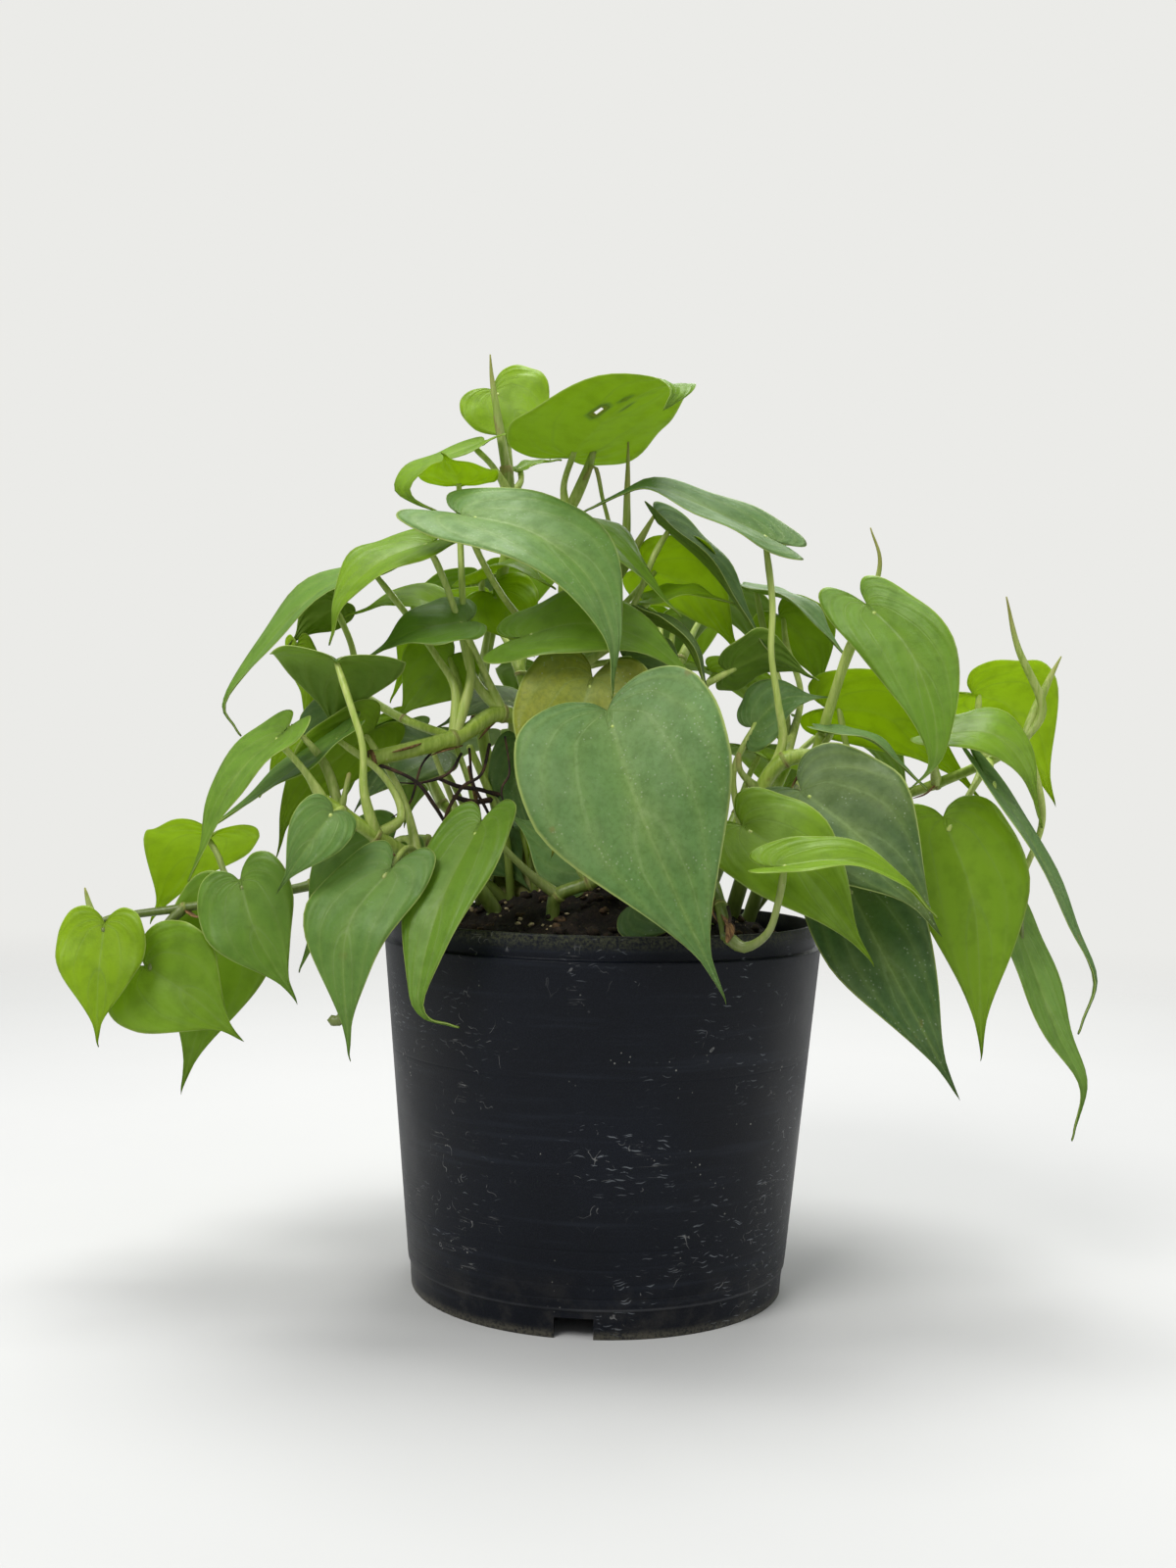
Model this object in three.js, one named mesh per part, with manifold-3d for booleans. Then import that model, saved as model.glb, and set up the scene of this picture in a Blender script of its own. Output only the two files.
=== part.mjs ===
// A heartleaf philodendron in a black nursery pot, in millimetres, +Z up.
// The origin is the centre of the pot's underside. The front of the plant looks along -Y.
import * as THREE from "three";
import { mergeVertices } from "three/addons/utils/BufferGeometryUtils.js";
import Module from "manifold-3d";

const wasm = await Module();
wasm.setup();

// Driving dimensions of the pot
const RIM_RADIUS = 85;
const LEDGE_HEIGHT = 133;
const POT_HEIGHT = 142;
const COLLAR_INSET = 2.4;
const BASE_RADIUS = 73.4;
const FOOT_RADIUS = 72;
const FOOT_HEIGHT = 10;
const WALL = 1.6;
const FLOOR_UNDERSIDE = 8;
const CENTRE_PAD_RADIUS = 14.6;
const NOTCH_WIDTH = 14;
const NOTCH_HEIGHT = 7.5;
const NOTCHES = 4;
const FIRST_NOTCH_DEGREES = -96.5;
const DRAIN_HOLES = 4;
const DRAIN_HOLE_RADIUS = 6;
const DRAIN_CIRCLE_RADIUS = 42;
const EDGE = 0.5;
const POT_SEGMENTS = 32;

// Driving dimensions of the soil
const SOIL_GAP = 0.3;
const SOIL_EDGE_HEIGHT = 129;
const SOIL_RADIUS = 84;
const SOIL_MOUND = 17;
const SOIL_RELIEF = 1.3;
const SOIL_FLAT_EDGE = 4;
const SOIL_FADE = 8;
const SOIL_RINGS = [82, 74, 58, 40, 20];
const SOIL_SEGMENTS = 24;
const ROOT_DEPTH_Z = 100;
const HOLE_GAP = 0.5;
const HOLE_SIDES = 8;
const HOLE_LENGTH = 90;

// Driving dimensions of the leaves and stems
const BLADE = 0.75;
const PETIOLE_RADIUS = 1.25;
const PETIOLE_FOOT_RADIUS = 1.7;
const STEM_SIDES = 5;
const PETIOLE_SIDES = 4;
const TUBE_STEP = 34;
const WIDE_LEAF = 53;
const PETIOLE_REACH = 0.06;
const PETIOLE_SINK = 0.15;
const STRAIGHT_BELOW = 2;
const STRAIGHT_ABOVE = 4;

// Half a heart leaf: across from the midrib as a share of half the width,
// and along from the petiole joint as a share of the length.
const HALF_OUTLINE = [
  [0, 0],
  [0.4, -0.15],
  [0.78, -0.1],
  [1, 0.12],
  [0.9, 0.42],
  [0.62, 0.67],
  [0.25, 0.87],
  [0, 1],
];
// Toward the tip a leaf draws in to a slender point: from here on, by this much, and this sharply
const TAPER_START = 0.3;
const TAPER_END = 0.87;
const TAPER = 0.6;
const TAPER_POWER = 1.5;
const VEIN_START = 0.21;
const CAMBER = 0.14;
const CREASE_SOFTNESS = 0.063;
const RIPPLES = 1.6;

// A point of the plant is written as [across, up, back]: where it is seen from the front,
// measured in the plane of the pot's axis, and how far it lies behind that plane.
const EYE = new THREE.Vector3(-7, -636, 194);

function seen([across, up, back]) {
  const share = (back - EYE.y) / -EYE.y;
  const x = EYE.x + (across - EYE.x) * share;
  const z = EYE.z + (up - EYE.z) * share;
  return new THREE.Vector3(x, back, z);
}

// A closed geometry as a solid, and back
function solidOf(geometry) {
  const bare = geometry.clone();
  bare.deleteAttribute("normal");
  bare.deleteAttribute("uv");
  const merged = mergeVertices(bare, 1e-4);
  const vertProperties = merged.attributes.position.array;
  const triVerts = new Uint32Array(merged.index.array);
  return new wasm.Manifold(new wasm.Mesh({ numProp: 3, vertProperties, triVerts }));
}

function geometryOf(solid) {
  const mesh = solid.getMesh();
  const geometry = new THREE.BufferGeometry();
  geometry.setAttribute("position", new THREE.BufferAttribute(mesh.vertProperties, 3));
  geometry.setIndex(new THREE.BufferAttribute(mesh.triVerts, 1));
  return geometry;
}

function fused(solids) {
  return solids.reduce((sum, next) => sum.add(next));
}

// The largest connected body of a solid: loose scraps of a join are dropped
function mainBody(solid) {
  const bodies = solid.decompose();
  return bodies.reduce((best, next) => (next.volume() > best.volume() ? next : best));
}

// A geometry from rows of vertices, given as triangles of vertex numbers
function meshOf(vertices, triangles) {
  const geometry = new THREE.BufferGeometry();
  const flat = vertices.flatMap((v) => [v.x, v.y, v.z]);
  geometry.setAttribute("position", new THREE.Float32BufferAttribute(flat, 3));
  geometry.setIndex(triangles.flat());
  return geometry;
}

function curveThrough(points) {
  return new THREE.CatmullRomCurve3(points, false, "catmullrom", 0.5);
}

// The curve's parameters at which a tube has its rings, closer on a longer stretch
function ringPlaces(points) {
  const spans = points.length - 1;
  const places = [0];
  for (let i = 0; i < spans; i += 1) {
    const steps = Math.max(1, Math.round(points[i].distanceTo(points[i + 1]) / TUBE_STEP));
    for (let k = 1; k <= steps; k += 1) places.push((i + k / steps) / spans);
  }
  return places;
}

// A round tube through points, whose radius changes evenly from one end to the other
function tube(points, startRadius, endRadius, sides) {
  const curve = curveThrough(points);
  const places = ringPlaces(points);
  const vertices = [];
  let side = new THREE.Vector3(0.3, 1, 0.2);
  for (const place of places) {
    const tangent = curve.getTangent(place);
    side = side.clone().projectOnPlane(tangent).normalize();
    const other = new THREE.Vector3().crossVectors(tangent, side);
    const centre = curve.getPoint(place);
    const radius = THREE.MathUtils.lerp(startRadius, endRadius, place);
    for (let k = 0; k < sides; k += 1) {
      const angle = (2 * Math.PI * k) / sides;
      const offset = side.clone().multiplyScalar(Math.cos(angle));
      offset.addScaledVector(other, Math.sin(angle)).multiplyScalar(radius);
      vertices.push(centre.clone().add(offset));
    }
  }
  const triangles = [];
  for (let ring = 0; ring < places.length - 1; ring += 1) {
    for (let k = 0; k < sides; k += 1) {
      const a = ring * sides + k;
      const b = ring * sides + ((k + 1) % sides);
      triangles.push([a, b, b + sides], [a, b + sides, a + sides]);
    }
  }
  const last = (places.length - 1) * sides;
  for (let k = 1; k < sides - 1; k += 1) {
    triangles.push([0, k + 1, k], [last, last + k, last + k + 1]);
  }
  return solidOf(meshOf(vertices, triangles));
}

// The surface of a leaf: its midrib runs along a curve, and its blade stands out to both sides
class LeafSurface {
  constructor({ rib, width, face, fold = 14, wave = 0.05, lobe = 1, phase = 0 }) {
    const joint = rib[0];
    const tip = rib[rib.length - 1];
    this.rib = curveThrough(rib);
    this.length = this.rib.getLength();
    this.halfWidth = width / 2;
    this.fold = THREE.MathUtils.degToRad(fold);
    this.wave = wave;
    this.lobe = lobe;
    this.phase = phase;
    const chord = new THREE.Vector3().subVectors(tip, joint).normalize();
    this.across = new THREE.Vector3().crossVectors(chord, new THREE.Vector3(...face)).normalize();
  }

  // The point at a share across (-1 to 1) and a share along (below 0 in the lobes)
  at(across, along) {
    const place = THREE.MathUtils.clamp(along, 0, 1);
    const tangent = this.rib.getTangentAt(place);
    const up = new THREE.Vector3().crossVectors(this.across, tangent).normalize();
    const point = this.rib.getPointAt(place);
    if (along < 0) point.addScaledVector(tangent, along * this.lobe * this.length);
    const crease = Math.hypot(across, CREASE_SOFTNESS) - CREASE_SOFTNESS;
    const ripple = Math.sin(2 * Math.PI * (RIPPLES * along + this.phase) + across);
    const lift = crease * Math.sin(this.fold) - CAMBER * across * across;
    const rise = this.halfWidth * (lift + this.wave * across * across * ripple);
    point.addScaledVector(this.across, across * this.halfWidth * Math.cos(this.fold));
    return point.addScaledVector(up, rise);
  }

  normal(across, along) {
    const step = 0.02;
    const sideways = this.at(across + step, along).sub(this.at(across - step, along));
    const forwards = this.at(across, along + step).sub(this.at(across, along - step));
    return sideways.cross(forwards).normalize();
  }
}

// How far a leaf reaches across at a share along its length, once its tip is drawn in
function drawnIn(across, along, taper = 1) {
  const share = THREE.MathUtils.clamp((along - TAPER_START) / (TAPER_END - TAPER_START), 0, 1);
  return across * (1 - TAPER * taper * share ** TAPER_POWER);
}

// A leaf blade of even thickness. Both faces have the same triangles, and a strip closes the edge.
function blade(leaf) {
  const surface = new LeafSurface(leaf);
  const bands = leaf.width > WIDE_LEAF ? 2 : 1;
  const grid = [];
  const places = [];
  const place = (across, along) => {
    places.push([across, along]);
    return places.length - 1;
  };
  const joint = place(0, 0);
  const tip = place(0, 1);
  const outline = HALF_OUTLINE.slice(1, -1).map(([across, along]) => [
    drawnIn(across, along, leaf.taper),
    along,
  ]);
  const ribs = outline.map(([, along]) => Math.max(0, (along - VEIN_START) / (1 - VEIN_START)));
  const onRib = ribs.map((along) => (along > 0 ? place(0, along) : joint));
  const edges = [];
  for (const side of [1, -1]) {
    const rows = outline.map(([across, along], i) => {
      const row = [onRib[i]];
      for (let k = 1; k <= bands; k += 1) {
        const share = k / bands;
        row.push(place(side * across * share, THREE.MathUtils.lerp(ribs[i], along, share)));
      }
      return row;
    });
    rows.push(Array(bands + 1).fill(tip));
    const facing = (a, b, c) => {
      if (a !== b && b !== c && a !== c) grid.push(side > 0 ? [a, b, c] : [a, c, b]);
    };
    for (let i = 0; i < rows.length - 1; i += 1) {
      for (let k = 0; k < bands; k += 1) {
        facing(rows[i][k], rows[i][k + 1], rows[i + 1][k + 1]);
        facing(rows[i][k], rows[i + 1][k + 1], rows[i + 1][k]);
      }
    }
    const margin = [...rows[0], ...rows.slice(1).map((row) => row[bands])];
    edges.push(side > 0 ? margin : margin.slice().reverse());
  }
  const vertices = [1, -1].flatMap((sign) =>
    places.map(([across, along]) =>
      surface.at(across, along).addScaledVector(surface.normal(across, along), (sign * BLADE) / 2),
    ),
  );
  const back = places.length;
  const triangles = [];
  for (const [a, b, c] of grid) triangles.push([a, b, c], [a + back, c + back, b + back]);
  for (const margin of edges) {
    for (let i = 0; i < margin.length - 1; i += 1) {
      const [a, b] = [margin[i], margin[i + 1]];
      triangles.push([b, a, a + back], [b, a + back, b + back]);
    }
  }
  return solidOf(meshOf(vertices, triangles));
}

// The petiole runs from its stem into the blade at the start of the midrib
function petiole(start, leaf) {
  const surface = new LeafSurface(leaf);
  const under = surface.at(0, PETIOLE_REACH);
  under.addScaledVector(surface.normal(0, PETIOLE_REACH), -PETIOLE_SINK);
  const points = [start, ...leaf.stalk, under];
  return tube(points, PETIOLE_FOOT_RADIUS, PETIOLE_RADIUS * 0.7, PETIOLE_SIDES);
}

// The soil's surface: a low mound with lumps, level where it meets the pot
function soilHeight(x, y) {
  const r = Math.hypot(x, y);
  const mound = SOIL_MOUND * Math.max(0, 1 - (r / SOIL_RADIUS) ** 2);
  const lumps = Math.sin(x * 0.21 + 1) * Math.cos(y * 0.19) + 0.6 * Math.sin(x * 0.47 - y * 0.39);
  const fade = THREE.MathUtils.clamp((SOIL_RADIUS - SOIL_FLAT_EDGE - r) / SOIL_FADE, 0, 1);
  return SOIL_EDGE_HEIGHT + mound + SOIL_RELIEF * lumps * fade;
}

// A stem grows straight up through its hole in the soil, then along its path
function stemPoints(stem, stems) {
  const path = stem.path;
  if (!stem.root) return [stems[stem.on[0]].path[stem.on[1]], ...path];
  const [x, y] = stem.root;
  const surface = soilHeight(x, y);
  const heights = [ROOT_DEPTH_Z, surface - STRAIGHT_BELOW, surface + STRAIGHT_ABOVE];
  return [...heights.map((z) => new THREE.Vector3(x, y, z)), ...path];
}

// A vine: its stems, its spikes (rolled young leaves and sheaths) and its leaves, in one body
function vineSolid(vine) {
  const startOf = ([stem, point]) => vine.stems[stem].path[point];
  const parts = vine.stems.map((stem) =>
    tube(stemPoints(stem, vine.stems), stem.radius, stem.end, STEM_SIDES),
  );
  for (const spike of vine.spikes ?? []) {
    const points = [startOf(spike.on), ...spike.path];
    parts.push(tube(points, spike.radius, spike.end ?? 0.4, PETIOLE_SIDES));
  }
  for (const leaf of vine.leaves) {
    parts.push(petiole(startOf(leaf.on), leaf), blade(leaf));
  }
  return mainBody(fused(parts));
}

// Every [across, up, back] of a vine that is seen from the front, as a point in space
function placed(vine) {
  const points = (list) => list.map(seen);
  return {
    name: vine.name,
    stems: vine.stems.map((stem) => ({ ...stem, path: points(stem.path) })),
    spikes: (vine.spikes ?? []).map((spike) => ({ ...spike, path: points(spike.path) })),
    leaves: vine.leaves.map((leaf, i) => ({
      ...leaf,
      phase: (i * 0.37) % 1,
      stalk: points(leaf.stalk ?? []),
      rib: points(leaf.rib),
    })),
  };
}

const LEFT_LOW = {
  name: "vine_left_low",
  stems: [
    {
      root: [-42, -22],
      radius: 3.1,
      end: 2.4,
      path: [[-58, 161, -32], [-73, 163, -42], [-90, 172, -52], [-104, 181, -58], [-111, 185, -60]],
    },
  ],
  spikes: [
    { on: [0, 3], radius: 2.2, path: [[-111, 200, -54], [-124, 215, -52]] },
    { on: [0, 3], radius: 1.6, end: 1, path: [[-101, 196, -60]] },
  ],
  leaves: [
    {
      on: [0, 4],
      stalk: [[-118, 196, -62]],
      rib: [[-127, 212, -62], [-146, 193, -68], [-162, 156, -74]],
      width: 32,
      face: [-0.45, -0.5, 0.75],
    },
    {
      on: [0, 2],
      stalk: [[-80, 180, -46], [-88, 196, -44]],
      rib: [[-103, 212, -44], [-127, 194, -48], [-155, 174, -48]],
      width: 34,
      face: [-0.3, -0.3, 0.9],
    },
    {
      on: [0, 1],
      stalk: [[-80, 188, -34]],
      rib: [[-92, 214, -30], [-113, 196, -32], [-125, 179, -36], [-128, 166, -38]],
      width: 32,
      face: [0.2, 0.5, 0.8],
    },
    {
      on: [0, 3],
      stalk: [[-104, 182, -66]],
      rib: [[-107, 181, -74], [-117, 167, -80], [-127, 151, -80]],
      width: 22,
      face: [0.35, -0.75, 0.5],
      lobe: 0.6,
    },
    {
      on: [0, 1],
      stalk: [[-78, 167, -56]],
      rib: [[-84, 159, -68], [-101, 133, -80], [-99, 87, -82]],
      width: 36,
      face: [-0.15, -1, 0.25],
    },
    {
      on: [0, 2],
      stalk: [[-95, 189, -58], [-96, 207, -62], [-101, 223, -62]],
      rib: [[-107, 241, -60], [-106, 233, -42], [-107, 212, -28]],
      width: 50,
      face: [0, 0.6, 0.8],
      lobe: 0.6,
    },
    {
      on: [0, 1],
      stalk: [[-78, 171, -32]],
      rib: [[-84, 170, -24], [-103, 153, -22], [-118, 121, -24]],
      width: 38,
      face: [-0.2, -0.8, 0.5],
    },
  ],
};

const FAR_LEFT = {
  name: "vine_far_left",
  stems: [
    {
      root: [-38, 8],
      radius: 2.8,
      end: 1.5,
      path: [
        [-70, 170, 0],
        [-92, 162, -6],
        [-115, 152, -9],
        [-140, 147, -12],
        [-165, 142, -14],
        [-190, 138, -16],
        [-199, 135, -18],
      ],
    },
  ],
  spikes: [{ on: [0, 6], radius: 1.5, path: [[-202, 142, -18], [-204, 149, -18]] }],
  leaves: [
    {
      on: [0, 3],
      stalk: [[-148, 154, -9], [-152, 163, -6]],
      rib: [[-155, 171, -4], [-162, 161, 14], [-177, 138, 24]],
      width: 50,
      face: [-0.3, 0.45, 0.85],
    },
    {
      on: [0, 3],
      stalk: [[-143, 153, -17]],
      rib: [[-143, 153, -23], [-136, 132, -28], [-121, 108, -26]],
      width: 39,
      face: [-0.1, -1, 0.2],
    },
    {
      on: [0, 3],
      rib: [[-146, 144, -6], [-154, 112, -4], [-164, 72, -6]],
      width: 44,
      face: [0.1, -1, 0.1],
    },
    {
      on: [0, 4],
      stalk: [[-174, 132, -17]],
      rib: [[-180, 119, -21], [-161, 107, -25], [-143, 92, -25]],
      width: 48,
      face: [-0.1, -1, 0.1],
    },
    {
      on: [0, 6],
      stalk: [[-198, 137, -22]],
      rib: [[-196, 135, -27], [-198, 113, -31], [-198, 90, -29]],
      width: 35,
      face: [-0.05, -1, 0.15],
    },
  ],
};

const CUT_STEM = {
  name: "vine_cut_stem",
  stems: [
    {
      root: [-4, 6],
      radius: 3.3,
      end: 3.1,
      path: [[-8, 176, 2], [-20, 208, -8], [-41, 221, -18], [-60, 211, -30], [-92, 202, -40]],
    },
    { on: [0, 3], radius: 1.8, end: 1.6, path: [[-80, 218, -14], [-98, 228, -6]] },
  ],
  leaves: [
    {
      on: [0, 3],
      stalk: [[-54, 235, -28], [-57, 255, -24], [-59, 285, -20]],
      rib: [[-60, 311, -16], [-62, 316, -30], [-66, 322, -44]],
      width: 32,
      face: [0, 0.3, 0.95],
    },
    {
      on: [0, 2],
      stalk: [[-53, 235, -22], [-60, 259, -26], [-68, 279, -30]],
      rib: [[-70, 288, -34], [-90, 280, -46], [-105, 265, -54], [-109, 250, -56]],
      width: 38,
      face: [-0.35, -0.6, 0.75],
    },
    {
      on: [0, 3],
      stalk: [[-60, 230, -28], [-67, 242, -24], [-78, 257, -20]],
      rib: [[-88, 278, -18], [-116, 266, -26], [-142, 236, -32], [-151, 222, -34], [-146, 213, -34]],
      width: 40,
      face: [-0.5, -0.4, 0.75],
    },
    {
      on: [0, 2],
      stalk: [[-50, 240, -24]],
      rib: [[-56, 257, -30], [-76, 253, -34], [-93, 243, -34]],
      width: 34,
      face: [-0.1, -0.4, 0.9],
    },
    {
      on: [0, 3],
      stalk: [[-58, 228, -20]],
      rib: [[-61, 244, -14], [-73, 231, -12], [-82, 218, -12]],
      width: 32,
      face: [0.2, -0.8, 0.5],
    },
    {
      on: [0, 2],
      stalk: [[-50, 238, -12]],
      rib: [[-60, 258, -6], [-78, 266, -6], [-101, 259, -8]],
      width: 30,
      face: [-0.2, -0.5, 0.85],
    },
    {
      on: [1, 1],
      stalk: [[-108, 240, -2]],
      rib: [[-122, 246, 0], [-118, 230, 2], [-119, 215, 2]],
      width: 16,
      face: [0.3, 0.6, 0.6],
    },
    {
      on: [1, 1],
      rib: [[-106, 220, -2], [-114, 208, 2], [-120, 195, 2]],
      width: 24,
      face: [0.1, -0.8, 0.5],
    },
    {
      on: [1, 1],
      stalk: [[-101, 246, -2]],
      rib: [[-107, 263, -2], [-116, 256, 2], [-125, 247, 2]],
      width: 22,
      face: [0, 0.6, 0.7],
    },
    {
      on: [0, 1],
      stalk: [[-27, 200, -2]],
      rib: [[-28, 189, 2], [-29, 176, 3], [-30, 163, 3]],
      width: 8,
      face: [0.2, -1, 0.1],
    },
  ],
};

const TOP_LEFT = {
  name: "vine_top_left",
  stems: [
    {
      root: [-28, 22],
      radius: 2.8,
      end: 2.2,
      path: [
        [-36, 160, 22],
        [-44, 190, 24],
        [-50, 225, 26],
        [-45, 262, 24],
        [-39, 296, 20],
        [-40, 307, 18],
      ],
    },
  ],
  spikes: [
    { on: [0, 4], radius: 3, end: 3.2, path: [[-40, 307, 18], [-42, 318, 17]] },
    { on: [0, 5], radius: 3, end: 1.6, path: [[-43, 324, 16], [-46, 338, 16]] },
    { on: [0, 5], radius: 2.2, path: [[-45, 335, 16], [-48, 352, 16], [-49, 362, 16]] },
  ],
  leaves: [
    {
      on: [0, 4],
      stalk: [[-41, 325, 24], [-45, 342, 30]],
      rib: [[-47, 348, 28], [-36, 337, 24], [-26, 324, 22]],
      width: 40,
      face: [0, -0.9, 0.4],
    },
    {
      on: [0, 5],
      stalk: [[-47, 318, 10]],
      rib: [
        [-52, 327, 14],
        [-66, 321, 8],
        [-78, 314, 4],
        [-82, 308, 2],
        [-76, 303, 2],
        [-69, 300, 2],
      ],
      width: 32,
      face: [-0.5, -0.5, 0.75],
      lobe: 0.7,
    },
    {
      on: [0, 5],
      stalk: [[-36, 312, 20]],
      rib: [[-37, 317, 25], [-30, 320, 28], [-23, 321, 30]],
      width: 14,
      face: [0, -0.3, 0.95],
    },
    {
      on: [0, 3],
      stalk: [[-50, 268, 18]],
      rib: [[-52, 273, 12], [-40, 280, 4], [-24, 272, -2]],
      width: 36,
      face: [0, -0.3, 0.9],
    },
    {
      on: [0, 2],
      stalk: [[-48, 250, 18]],
      rib: [[-46, 268, 16], [-38, 258, 12], [-31, 246, 14]],
      width: 34,
      face: [0, -0.8, 0.5],
    },
    {
      on: [0, 0],
      stalk: [[-44, 168, 14]],
      rib: [[-48, 172, 8], [-40, 164, 6], [-32, 155, 6]],
      width: 22,
      face: [0.1, -0.9, 0.4],
    },
    {
      on: [0, 0],
      stalk: [[-52, 178, 22], [-62, 196, 20]],
      rib: [[-70, 207, 18], [-84, 202, 12], [-97, 184, 10]],
      width: 38,
      face: [-0.3, -0.9, 0.3],
    },
    {
      on: [0, 1],
      stalk: [[-38, 212, 20]],
      rib: [[-37, 226, 16], [-50, 225, 10], [-65, 216, 8]],
      width: 28,
      face: [0, -0.5, 0.85],
    },
  ],
};

const TOP_CENTRE = {
  name: "vine_top_centre",
  stems: [
    {
      root: [-8, 30],
      radius: 2.8,
      end: 2.2,
      path: [[-14, 165, 26], [-16, 205, 22], [-18, 245, 18], [-18, 285, 14], [-17, 300, 12]],
    },
  ],
  spikes: [
    { on: [0, 4], radius: 2.8, path: [[-10, 317, 8], [-6, 331, 4]] },
    { on: [0, 3], radius: 1.4, end: 1, path: [[-1, 289, 8], [-4, 308, 6], [-7, 319, 4], [-11, 314, 3]] },
    { on: [0, 2], radius: 2.6, path: [[-4, 262, 12], [5, 285, 5], [6, 310, 2], [6, 331, 0]] },
    { on: [0, 2], radius: 3.4, path: [[-7, 262, 10], [6, 281, 6], [19, 304, 6]] },
  ],
  leaves: [
    {
      on: [0, 4],
      stalk: [[-19, 311, 12]],
      rib: [
        [-17, 323, 6],
        [-3, 338, -32],
        [12, 349, -54],
        [24, 352, -68],
        [25, 348, -78],
        [17, 343, -84],
      ],
      width: 68,
      face: [0, 0.1, 1],
      taper: 0,
    },
    {
      on: [0, 2],
      stalk: [[-38, 262, -12], [-53, 286, -36]],
      rib: [[-59, 299, -46], [-32, 293, -58], [-10, 277, -68], [1, 254, -74], [2, 232, -76]],
      width: 50,
      face: [0.3, -0.85, 0.55],
    },
    {
      on: [0, 3],
      stalk: [[-24, 296, -8]],
      rib: [[-25, 300, -20], [-5, 293, -28], [12, 277, -36], [26, 263, -40]],
      width: 38,
      face: [0.35, -0.35, 0.85],
    },
  ],
};

const CENTRE = {
  name: "vine_centre",
  stems: [
    {
      root: [12, -6],
      radius: 2.8,
      end: 2.2,
      path: [[8, 165, -10], [2, 192, -14], [-4, 220, -18], [-12, 240, -20]],
    },
  ],
  leaves: [
    {
      on: [0, 3],
      stalk: [[-26, 246, -32]],
      rib: [[-35, 251, -44], [-12, 257, -50], [12, 252, -52], [38, 233, -50]],
      width: 40,
      face: [0.05, -0.7, 0.7],
    },
    {
      on: [0, 2],
      stalk: [[-4, 232, -36]],
      rib: [[-6, 236, -54], [-14, 208, -62], [-20, 168, -60]],
      width: 50,
      face: [-0.1, -1, 0.25],
    },
    {
      on: [0, 3],
      rib: [[7, 244, -20], [21, 243, -22], [32, 229, -22]],
      width: 26,
      face: [0.3, -0.7, 0.6],
    },
    {
      on: [0, 3],
      stalk: [[4, 250, -26]],
      rib: [[14, 260, -34], [30, 251, -40], [41, 228, -40]],
      width: 16,
      face: [0.7, -0.3, 0.6],
      fold: 35,
    },
    {
      on: [0, 3],
      stalk: [[0, 252, -14], [10, 266, -12], [17, 284, -10]],
      rib: [[20, 297, -8], [41, 278, -14], [62, 249, -16]],
      width: 30,
      face: [0.55, -0.35, 0.75],
      fold: 32,
    },
    {
      on: [0, 3],
      stalk: [[-2, 256, -2]],
      rib: [[15, 279, 12], [34, 272, 6], [52, 246, 4]],
      width: 44,
      face: [0.2, 0.6, 0.75],
    },
    {
      on: [0, 3],
      stalk: [[2, 254, -10]],
      rib: [[15, 267, -2], [31, 270, -8], [46, 267, -12]],
      width: 26,
      face: [0, -0.4, 0.9],
    },
    {
      on: [0, 2],
      stalk: [[14, 226, -14], [32, 231, -12]],
      rib: [[48, 240, -10], [63, 246, -11], [80, 238, -12]],
      width: 30,
      face: [0, 0.6, 0.7],
    },
    {
      on: [0, 0],
      rib: [[-7, 162, -14], [-22, 172, -16], [-35, 179, -16]],
      width: 30,
      face: [0.1, -0.8, 0.5],
    },
  ],
};

const FRONT = {
  name: "vine_front",
  stems: [
    {
      root: [-19, -42],
      radius: 2.7,
      end: 2.3,
      path: [[-18, 150, -44], [-6, 155, -46], [9, 162, -48], [20, 168, -50]],
    },
  ],
  spikes: [{ on: [0, 1], radius: 1.2, path: [[-10, 160, -44], [-12, 169, -42]] }],
  leaves: [
    {
      on: [0, 3],
      stalk: [[19, 188, -60], [9, 212, -74]],
      rib: [[0, 223, -82], [12, 188, -97], [30, 148, -103], [48, 112, -100]],
      width: 75,
      face: [-0.1, -0.9, 0.45],
      lobe: 0.5,
      taper: 1.3,
    },
    {
      on: [0, 0],
      stalk: [[-29, 158, -46], [-42, 170, -50]],
      rib: [[-49, 178, -58], [-64, 146, -76], [-72, 112, -86], [-69, 101, -88], [-59, 98, -88]],
      width: 33,
      face: [-0.4, -0.9, 0.3],
      lobe: 0.7,
    },
    {
      on: [0, 3],
      stalk: [[28, 162, -46]],
      rib: [[31, 152, -42], [22, 148, -48], [10, 143, -54]],
      width: 24,
      face: [0, -0.6, 0.8],
    },
  ],
};

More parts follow.
